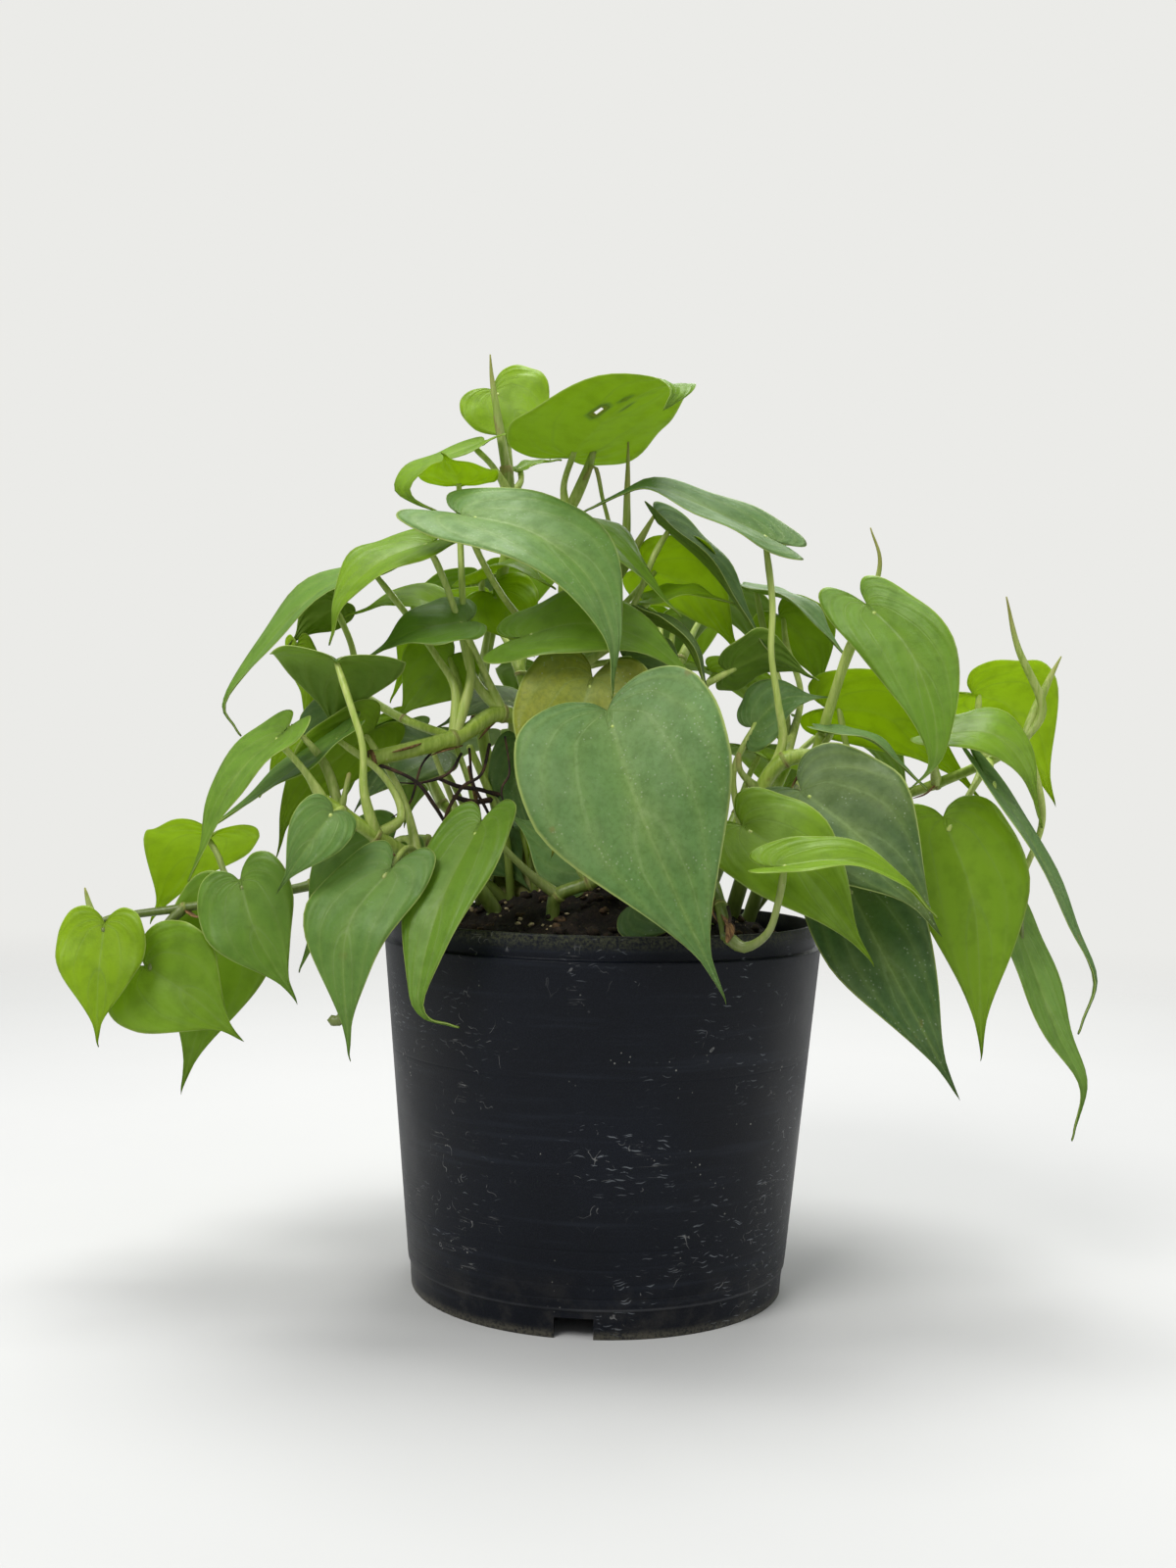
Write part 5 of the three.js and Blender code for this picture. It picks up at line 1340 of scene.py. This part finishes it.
def scuffed(recipe, colour, z, cloud, grit):
    """The colour with a pale line above the foot, worn patches low on the wall and a dusty lower edge."""
    lip = recipe.fade(recipe.apart(z, (FOOT_HEIGHT + 0.6) * MM), 0.0002, 0.0008)
    lip = recipe.times(lip, recipe.fit(cloud, 0.3, 0.6, 0.3, 1.0))
    colour = recipe.tint(colour, lip, 0.3, srgb(96, 98, 102))
    low = recipe.times(recipe.fade(z, 0.0, 0.03), recipe.fit(recipe.noise(70, 5, 0.7), 0.42, 0.66))
    colour = recipe.tint(colour, low, 0.1, srgb(118, 112, 100))
    edge = recipe.times(recipe.fade(z, 0.001, 0.004), recipe.fit(grit, 0.3, 0.6))
    return recipe.tint(colour, edge, 0.4, srgb(112, 108, 92))


def pot_material():
    """Charcoal black plastic: fine grain, pale scratches, a dusty greenish collar and a scuffed foot."""
    recipe = Recipe("nursery pot plastic")
    _, _, z = recipe.parts(recipe.place)
    grain = recipe.noise(2600, 2)
    cloud = recipe.noise(22, 4, 0.6)
    grit = recipe.noise(900, 4, 0.7)
    scratched = scratches(recipe)
    colour = recipe.mix(recipe.fit(cloud, 0.35, 0.7), srgb(7, 10, 17), srgb(12, 16, 24))
    colour = recipe.mix(recipe.fit(grain, 0.4, 0.65, 0.0, 0.22), colour, srgb(34, 38, 46))
    colour = recipe.mix(recipe.fit(recipe.streaks(12, 260), 0.52, 0.72, 0.0, 0.3), colour, srgb(36, 41, 50))
    colour = recipe.tint(colour, scratched, 0.4, srgb(158, 158, 156))
    speck = recipe.specks(380, 0.08, 0.15, recipe.noise(60, 3), 0.58, 0.68)
    colour = recipe.tint(colour, speck, 0.6, srgb(158, 158, 150))
    colour = recipe.tint(colour, nicks(recipe), 0.34, srgb(160, 166, 172))
    collar = recipe.fit(z, (LEDGE_HEIGHT + 2.5) * MM, (POT_HEIGHT - 1.5) * MM)
    collar = recipe.times(collar, recipe.fit(grit, 0.36, 0.66))
    colour = recipe.tint(colour, collar, 0.42, srgb(88, 90, 62))
    colour = scuffed(recipe, colour, z, cloud, grit)
    roughness = recipe.fit(cloud, 0.3, 0.7, 0.36, 0.48)
    roughness = recipe.plus(roughness, recipe.times(collar, 0.3))
    height = recipe.plus(grain, recipe.times(scratched, 0.6))
    normal = recipe.bump(height, 0.00012, 0.6)
    return recipe.finish(recipe.surface(colour, roughness, normal, 0.15))


def soil_material():
    """Damp potting soil: near-black brown, with paler crumbs."""
    recipe = Recipe("potting soil")
    coarse = recipe.noise(180, 5, 0.7)
    fine = recipe.noise(900, 4, 0.7)
    colour = recipe.mix(recipe.fit(coarse, 0.35, 0.7), srgb(20, 16, 13), srgb(46, 37, 29))
    crumb = recipe.specks(420, 0.12, 0.3, recipe.noise(240, 2), 0.5, 0.62)
    colour = recipe.tint(colour, crumb, 0.55, srgb(100, 84, 60))
    height = recipe.plus(recipe.times(coarse, 2.0), fine)
    normal = recipe.bump(height, 0.0012, 1.0)
    return recipe.finish(recipe.surface(colour, 0.9, normal, 0.25))


def grain_material(name, dark, light, roughness):
    """Perlite, bark or crumbs on the soil."""
    recipe = Recipe(name)
    patches = recipe.noise(500, 4, 0.7)
    colour = recipe.mix(recipe.fit(patches, 0.35, 0.68), dark, light)
    normal = recipe.bump(patches, 0.0005, 0.8)
    return recipe.finish(recipe.surface(colour, roughness, normal, 0.3))


# The pot and the soil


def circle(radius, count):
    """Points evenly round the upright axis, as (x, y)."""
    angles = [2 * math.pi * k / count for k in range(count)]
    return [(radius * math.cos(angle), radius * math.sin(angle)) for angle in angles]


def lathe(section, segments):
    """A closed mesh from a section of (radius, height) points, turned about the upright axis."""
    points, rings = [], []
    for radius, height in section:
        if radius == 0:
            rings.append([len(points)] * segments)
            points.append((0, 0, height))
            continue
        rings.append(list(range(len(points), len(points) + segments)))
        points += [(x, y, height) for x, y in circle(radius, segments)]
    faces = []
    for low, high in zip(rings, rings[1:]):
        for k in range(segments):
            following = (k + 1) % segments
            ring = without_repeats([low[k], low[following], high[following], high[k]])
            if len(ring) > 2:
                faces.append(ring)
    return points, faces


def mesh_object(name, points, faces, materials=()):
    """An object from points in millimetres and faces by point numbers."""
    mesh = bpy.data.meshes.new(name)
    mesh.from_pydata([tuple(c * MM for c in point) for point in points], [], faces)
    for material in materials:
        mesh.materials.append(material)
    mesh.update()
    made = bpy.data.objects.new(name, mesh)
    bpy.context.scene.collection.objects.link(made)
    return made


def rounded(section):
    """A section whose corners, other than those on the axis, are rounded."""
    result = []
    for i, corner in enumerate(section):
        if corner[0] == 0 or i in (0, len(section) - 1):
            result.append(corner)
            continue
        here = np.array(corner, float)
        before = np.array(section[i - 1], float) - here
        after = np.array(section[i + 1], float) - here
        reach = min(CORNER_RADIUS, np.linalg.norm(before) * 0.4, np.linalg.norm(after) * 0.4)
        start, end = here + unit(before) * reach, here + unit(after) * reach
        for k in range(CORNER_STEPS + 1):
            t = k / CORNER_STEPS
            point = start * (1 - t) ** 2 + here * 2 * t * (1 - t) + end * t**2
            result.append((float(point[0]), float(point[1])))
    return result


def wall_radius(height):
    """The pot's outer radius at a height between its foot and its ledge."""
    return BASE_RADIUS + (RIM_RADIUS - BASE_RADIUS) * (height - FOOT_HEIGHT) / (LEDGE_HEIGHT - FOOT_HEIGHT)


def ring_marks():
    """Faint moulding rings on the wall: shallow grooves in its section."""
    marks = []
    for height, depth in RING_MARKS:
        marks.append((wall_radius(height - 0.5), height - 0.5))
        marks.append((wall_radius(height) - depth, height))
        marks.append((wall_radius(height + 0.5), height + 0.5))
    return marks


def pot_section():
    """The pot from the middle of its underside, up its outside, and down its inside to the axis."""
    collar = RIM_RADIUS - COLLAR_INSET
    inside = collar - WALL
    return [
        (0, 0),
        (CENTRE_PAD_RADIUS, 0),
        (CENTRE_PAD_RADIUS + 2, FLOOR_UNDERSIDE),
        (FOOT_RADIUS - 2.9, FLOOR_UNDERSIDE),
        (FOOT_RADIUS - WALL, 0),
        (FOOT_RADIUS, 0),
        (FOOT_RADIUS + 0.7, FOOT_HEIGHT),
        (BASE_RADIUS, FOOT_HEIGHT + 0.5),
        *ring_marks(),
        (RIM_RADIUS, LEDGE_HEIGHT - 0.5),
        (RIM_RADIUS, LEDGE_HEIGHT),
        (collar, LEDGE_HEIGHT + 0.5),
        (collar, POT_HEIGHT - 0.5),
        (collar - 0.5, POT_HEIGHT),
        (inside, POT_HEIGHT),
        (inside, LEDGE_HEIGHT + 1.6),
        (RIM_RADIUS - WALL, LEDGE_HEIGHT - 1.6),
        (BASE_RADIUS - 1.4, FOOT_HEIGHT + 2),
        (FOOT_RADIUS - 0.8, FOOT_HEIGHT + 1.7),
        (FOOT_RADIUS - 2.2, FLOOR_UNDERSIDE + WALL),
        (CENTRE_PAD_RADIUS + 1, FLOOR_UNDERSIDE + WALL),
        (CENTRE_PAD_RADIUS - 1, WALL),
        (0, WALL),
    ]


def box(width, depth, height):
    """A box centred on the origin."""
    x, y, z = width / 2, depth / 2, height / 2
    points = [(a * x, b * y, c * z) for a in (-1, 1) for b in (-1, 1) for c in (-1, 1)]
    faces = [(0, 1, 3, 2), (4, 6, 7, 5), (0, 4, 5, 1), (2, 3, 7, 6), (0, 2, 6, 4), (1, 5, 7, 3)]
    return points, faces


def turned(points, degrees, shift):
    """Points moved by a shift, then turned about the pot's axis."""
    spin = Matrix.Rotation(math.radians(degrees), 3, "Z")
    return [tuple(spin @ (Vector(point) + Vector(shift))) for point in points]


def cut(body, points, faces):
    """The body with a cutter's shape taken out of it."""
    cutter = mesh_object("cutter", points, faces)
    modifier = body.modifiers.new("cut", "BOOLEAN")
    modifier.operation = "DIFFERENCE"
    modifier.solver = "EXACT"
    modifier.object = cutter
    graph = bpy.context.evaluated_depsgraph_get()
    fresh = bpy.data.meshes.new_from_object(body.evaluated_get(graph))
    body.modifiers.clear()
    old = body.data
    body.data = fresh
    bpy.data.meshes.remove(old)
    bpy.data.objects.remove(cutter)


def smooth_below(mesh, degrees):
    """Smooth shading, with a hard line where two faces meet at more than an angle."""
    form = bmesh.new()
    form.from_mesh(mesh)
    for face in form.faces:
        face.smooth = True
    for edge in form.edges:
        if len(edge.link_faces) == 2:
            edge.smooth = edge.calc_face_angle(0) < math.radians(degrees)
    form.to_mesh(mesh)
    form.free()


def build_pot():
    """The pot, with the notches in its foot and the drain holes in its floor cut out."""
    points, faces = lathe(rounded(pot_section()), POT_SEGMENTS)
    pot = mesh_object("pot_shell", points, faces, [pot_material()])
    cutters = []
    for i in range(NOTCHES):
        bearing = FIRST_NOTCH_DEGREES + i * 360 / NOTCHES
        points, faces = box(12, NOTCH_WIDTH, 2 * NOTCH_HEIGHT)
        cutters.append((turned(points, bearing, (FOOT_RADIUS, 0, 0)), faces))
    for i in range(DRAIN_HOLES):
        bearing = FIRST_NOTCH_DEGREES + (i + 0.5) * 360 / DRAIN_HOLES
        column = [(0, 0), (DRAIN_HOLE_RADIUS, 0), (DRAIN_HOLE_RADIUS, 12), (0, 12)]
        points, faces = lathe(column, HOLE_SEGMENTS)
        cutters.append((turned(points, bearing, (DRAIN_CIRCLE_RADIUS, 0, FLOOR_UNDERSIDE - 1)), faces))
    for points, faces in cutters:
        cut(pot, points, faces)
    smooth_below(pot.data, HARD_EDGE_DEGREES)
    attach(pot, "root")
    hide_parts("pot")


def build_soil():
    """The soil as a closed body: crumbly on top, smooth where it lies against the pot."""
    segments, rings = SOIL_SEGMENTS, SOIL_RINGS
    points = []
    edge = RIM_RADIUS - COLLAR_INSET - WALL - SOIL_GAP
    for i in range(rings):
        r = edge * (i + 1) / rings
        for x, y in circle(r, segments):
            lumps = [high * noise.noise(Vector((x, y, level)) * scale) for high, scale, level in CRUMBS]
            points.append((x, y, float(litter_height(x, y)) + sum(lumps) * min(1, (edge - r) / CRUMB_FADE)))
    top = len(points)
    points.append((0, 0, float(litter_height(0, 0))))
    for r, z in SOIL_UNDERSIDE:
        points += [(x, y, z) for x, y in circle(r, segments)]
    low = len(points)
    points.append((0, 0, SOIL_UNDERSIDE[-1][1]))
    faces = []
    for k in range(segments):
        following = (k + 1) % segments
        faces.append((top, k, following))
        for i in range(rings - 1):
            a, b = i * segments + k, i * segments + following
            faces.append((a, a + segments, b + segments, b))
        outer = (rings - 1) * segments
        levels = [outer] + [top + 1 + i * segments for i in range(len(SOIL_UNDERSIDE))]
        for upper, lower in zip(levels, levels[1:]):
            faces.append((upper + k, lower + k, lower + following, upper + following))
        faces.append((levels[-1] + k, low, levels[-1] + following))
    soil = mesh_object("soil_body", points, faces, [soil_material()])
    soil.data.polygons.foreach_set("use_smooth", [True] * len(soil.data.polygons))
    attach(soil, "root")
    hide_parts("soil")


def pebble(rng, size, long):
    """A small rough lump as points and faces about the origin."""
    form = bmesh.new()
    bmesh.ops.create_icosphere(form, subdivisions=2, radius=1)
    shift = Vector((rng.uniform(0, 90), rng.uniform(0, 90), rng.uniform(0, 90)))
    stretch = Vector((long * rng.uniform(0.8, 1.2), rng.uniform(0.7, 1.1), rng.uniform(0.5, 0.9)))
    spin = Matrix.Rotation(rng.uniform(0, 6.28), 3, "Z") @ Matrix.Rotation(rng.uniform(-0.5, 0.5), 3, "X")
    points = []
    for vertex in form.verts:
        rough = 1 + 0.5 * noise.noise(vertex.co * 1.4 + shift)
        point = spin @ Vector([a * b for a, b in zip(vertex.co * rough, stretch)])
        points.append(point * size)
    faces = [tuple(v.index for v in face.verts) for face in form.faces]
    form.free()
    return points, faces


def build_grit():
    """Perlite, bark and soil crumbs that lie half sunk in the soil."""
    rng = random.Random(77)
    points, faces, slots = [], [], []
    reach = RIM_RADIUS - COLLAR_INSET - WALL - GRIT_MARGIN
    for slot, (count, small, large, long) in enumerate(GRIT):
        for _ in range(count):
            r, angle = reach * math.sqrt(rng.random()), rng.uniform(0, 2 * math.pi)
            x, y = r * math.cos(angle), r * math.sin(angle)
            size = rng.uniform(small, large)
            lump, lump_faces = pebble(rng, size, long)
            z = float(litter_height(x, y)) + size * GRIT_RISE
            start = len(points)
            points += [(p.x + x, p.y + y, p.z + z) for p in lump]
            faces += [tuple(n + start for n in face) for face in lump_faces]
            slots += [slot] * len(lump_faces)
    materials = [
        grain_material("perlite", srgb(140, 122, 88), srgb(200, 184, 148), 0.85),
        grain_material("bark crumb", srgb(36, 27, 19), srgb(92, 70, 46), 0.85),
        grain_material("soil crumb", srgb(22, 18, 14), srgb(56, 44, 32), 0.95),
    ]
    grit = mesh_object("soil_grit", points, faces, materials)
    grit.data.polygons.foreach_set("material_index", slots)
    grit.data.polygons.foreach_set("use_smooth", [True] * len(grit.data.polygons))
    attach(grit, "root")
    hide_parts("soil")


# The studio

# The lights: name, place and size in metres, power and colour, and the point that all are aimed at
LIGHTS = [
    ("key", (-0.75, -1.1, 1.4), 0.9, 21, (1, 0.99, 0.98)),
    ("top", (-0.05, 0.25, 1.7), 0.9, 25, (1, 1, 0.99)),
    ("back", (0.3, 1.3, 1.0), 0.9, 8, (1, 1, 0.98)),
    ("side", (1.3, -0.6, 0.8), 0.8, 4, (1, 1, 1)),
]
LIGHTS_AIM = (0, 0, 0.17)
BACKGROUND = srgb(235, 235, 232)
AMBIENT_COLOUR = (0.95, 0.98, 1.0, 1)
AMBIENT_STRENGTH = 0.46
# The floor fades from the first of these distances to the second, in metres
FLOOR_FADE = (0.35, 1.6)
FLOOR_RADIUS = 2600


def add_floor():
    """A wide pale floor, which fades into the background with distance so that no horizon shows."""
    recipe = Recipe("studio floor")
    x, y, _ = recipe.parts(recipe.place)
    square = recipe.plus(recipe.times(x, x), recipe.times(y, y))
    distance = recipe.math("SQRT", square)
    grain = recipe.noise(6, 3)
    colour = recipe.mix(grain, srgb(190, 190, 189), srgb(194, 194, 193))
    shader = recipe.surface(colour, 0.9, None, 0.1)
    clear = recipe.node("ShaderNodeBsdfTransparent")
    both = recipe.blended(recipe.fit(distance, *FLOOR_FADE), shader, clear.outputs[0])
    points, faces = lathe([(0, 0), (FLOOR_RADIUS, 0)], 64)
    floor = mesh_object("studio_floor", points, faces, [recipe.finish(both)])


def add_light(name, place, size, power, colour):
    """A soft round light aimed at the middle of the plant."""
    light = bpy.data.lights.new(name, "AREA")
    light.shape = "DISK"
    light.size = size
    light.energy = power
    light.color = colour
    made = bpy.data.objects.new(name, light)
    bpy.context.scene.collection.objects.link(made)
    made.location = place
    aim = Vector(LIGHTS_AIM) - Vector(place)
    made.rotation_euler = aim.to_track_quat("-Z", "Y").to_euler()


def add_world():
    """A near-white background for the camera, and a softer light from all round."""
    world = bpy.data.worlds.new("studio")
    bpy.context.scene.world = world
    world.use_nodes = True
    tree = world.node_tree
    tree.nodes.clear()
    path = tree.nodes.new("ShaderNodeLightPath")
    seen_by_eye = tree.nodes.new("ShaderNodeBackground")
    seen_by_eye.inputs[0].default_value = BACKGROUND
    lights_plant = tree.nodes.new("ShaderNodeBackground")
    lights_plant.inputs[0].default_value = AMBIENT_COLOUR
    lights_plant.inputs[1].default_value = AMBIENT_STRENGTH
    both = tree.nodes.new("ShaderNodeMixShader")
    output = tree.nodes.new("ShaderNodeOutputWorld")
    tree.links.new(path.outputs["Is Camera Ray"], both.inputs[0])
    tree.links.new(lights_plant.outputs[0], both.inputs[1])
    tree.links.new(seen_by_eye.outputs[0], both.inputs[2])
    tree.links.new(both.outputs[0], output.inputs[0])


def add_camera():
    """The camera, which looks level along the back direction with a slight roll."""
    data = bpy.data.cameras.new("camera")
    data.sensor_width = SENSOR_MM
    data.lens = FOCAL_PIXELS / LONG_SIDE_PIXELS * SENSOR_MM
    data.clip_start = 0.01
    camera = bpy.data.objects.new("camera", data)
    bpy.context.scene.collection.objects.link(camera)
    roll = math.radians(CAMERA_ROLL_DEGREES)
    c, s = math.cos(roll), math.sin(roll)
    place = Matrix(((c, -s, 0), (0, 0, -1), (s, c, 0))).to_4x4()
    place.translation = Vector(EYE) * MM
    camera.matrix_world = place
    bpy.context.scene.camera = camera


def build():
    """The whole plant in its pot, and the studio round it."""
    leaf_materials = [leaf_material("leaf upper", False), leaf_material("leaf under", True)]
    stem_materials = [
        stem_material("vine stem", srgb(136, 162, 50), srgb(168, 188, 82)),
        stem_material("petiole", srgb(164, 186, 82), srgb(196, 208, 118)),
        spike_material(),
        brown_material(),
        root_material(),
        scar_material(),
    ]
    vines = {node: placed(rows) for node, rows in SEEN_VINES.items()}
    for i, facts in enumerate(BACK_VINES):
        vines[f"vine_back_{i + 1}"] = back_vine(i, **facts)
    for i, (node, rows) in enumerate(vines.items()):
        build_vine(node, rows, i, leaf_materials, stem_materials)
    build_pot()
    build_soil()
    build_grit()
    add_floor()
    add_world()
    for light in LIGHTS:
        add_light(*light)
    add_camera()
    bpy.context.scene.view_settings.view_transform = "Standard"


build()
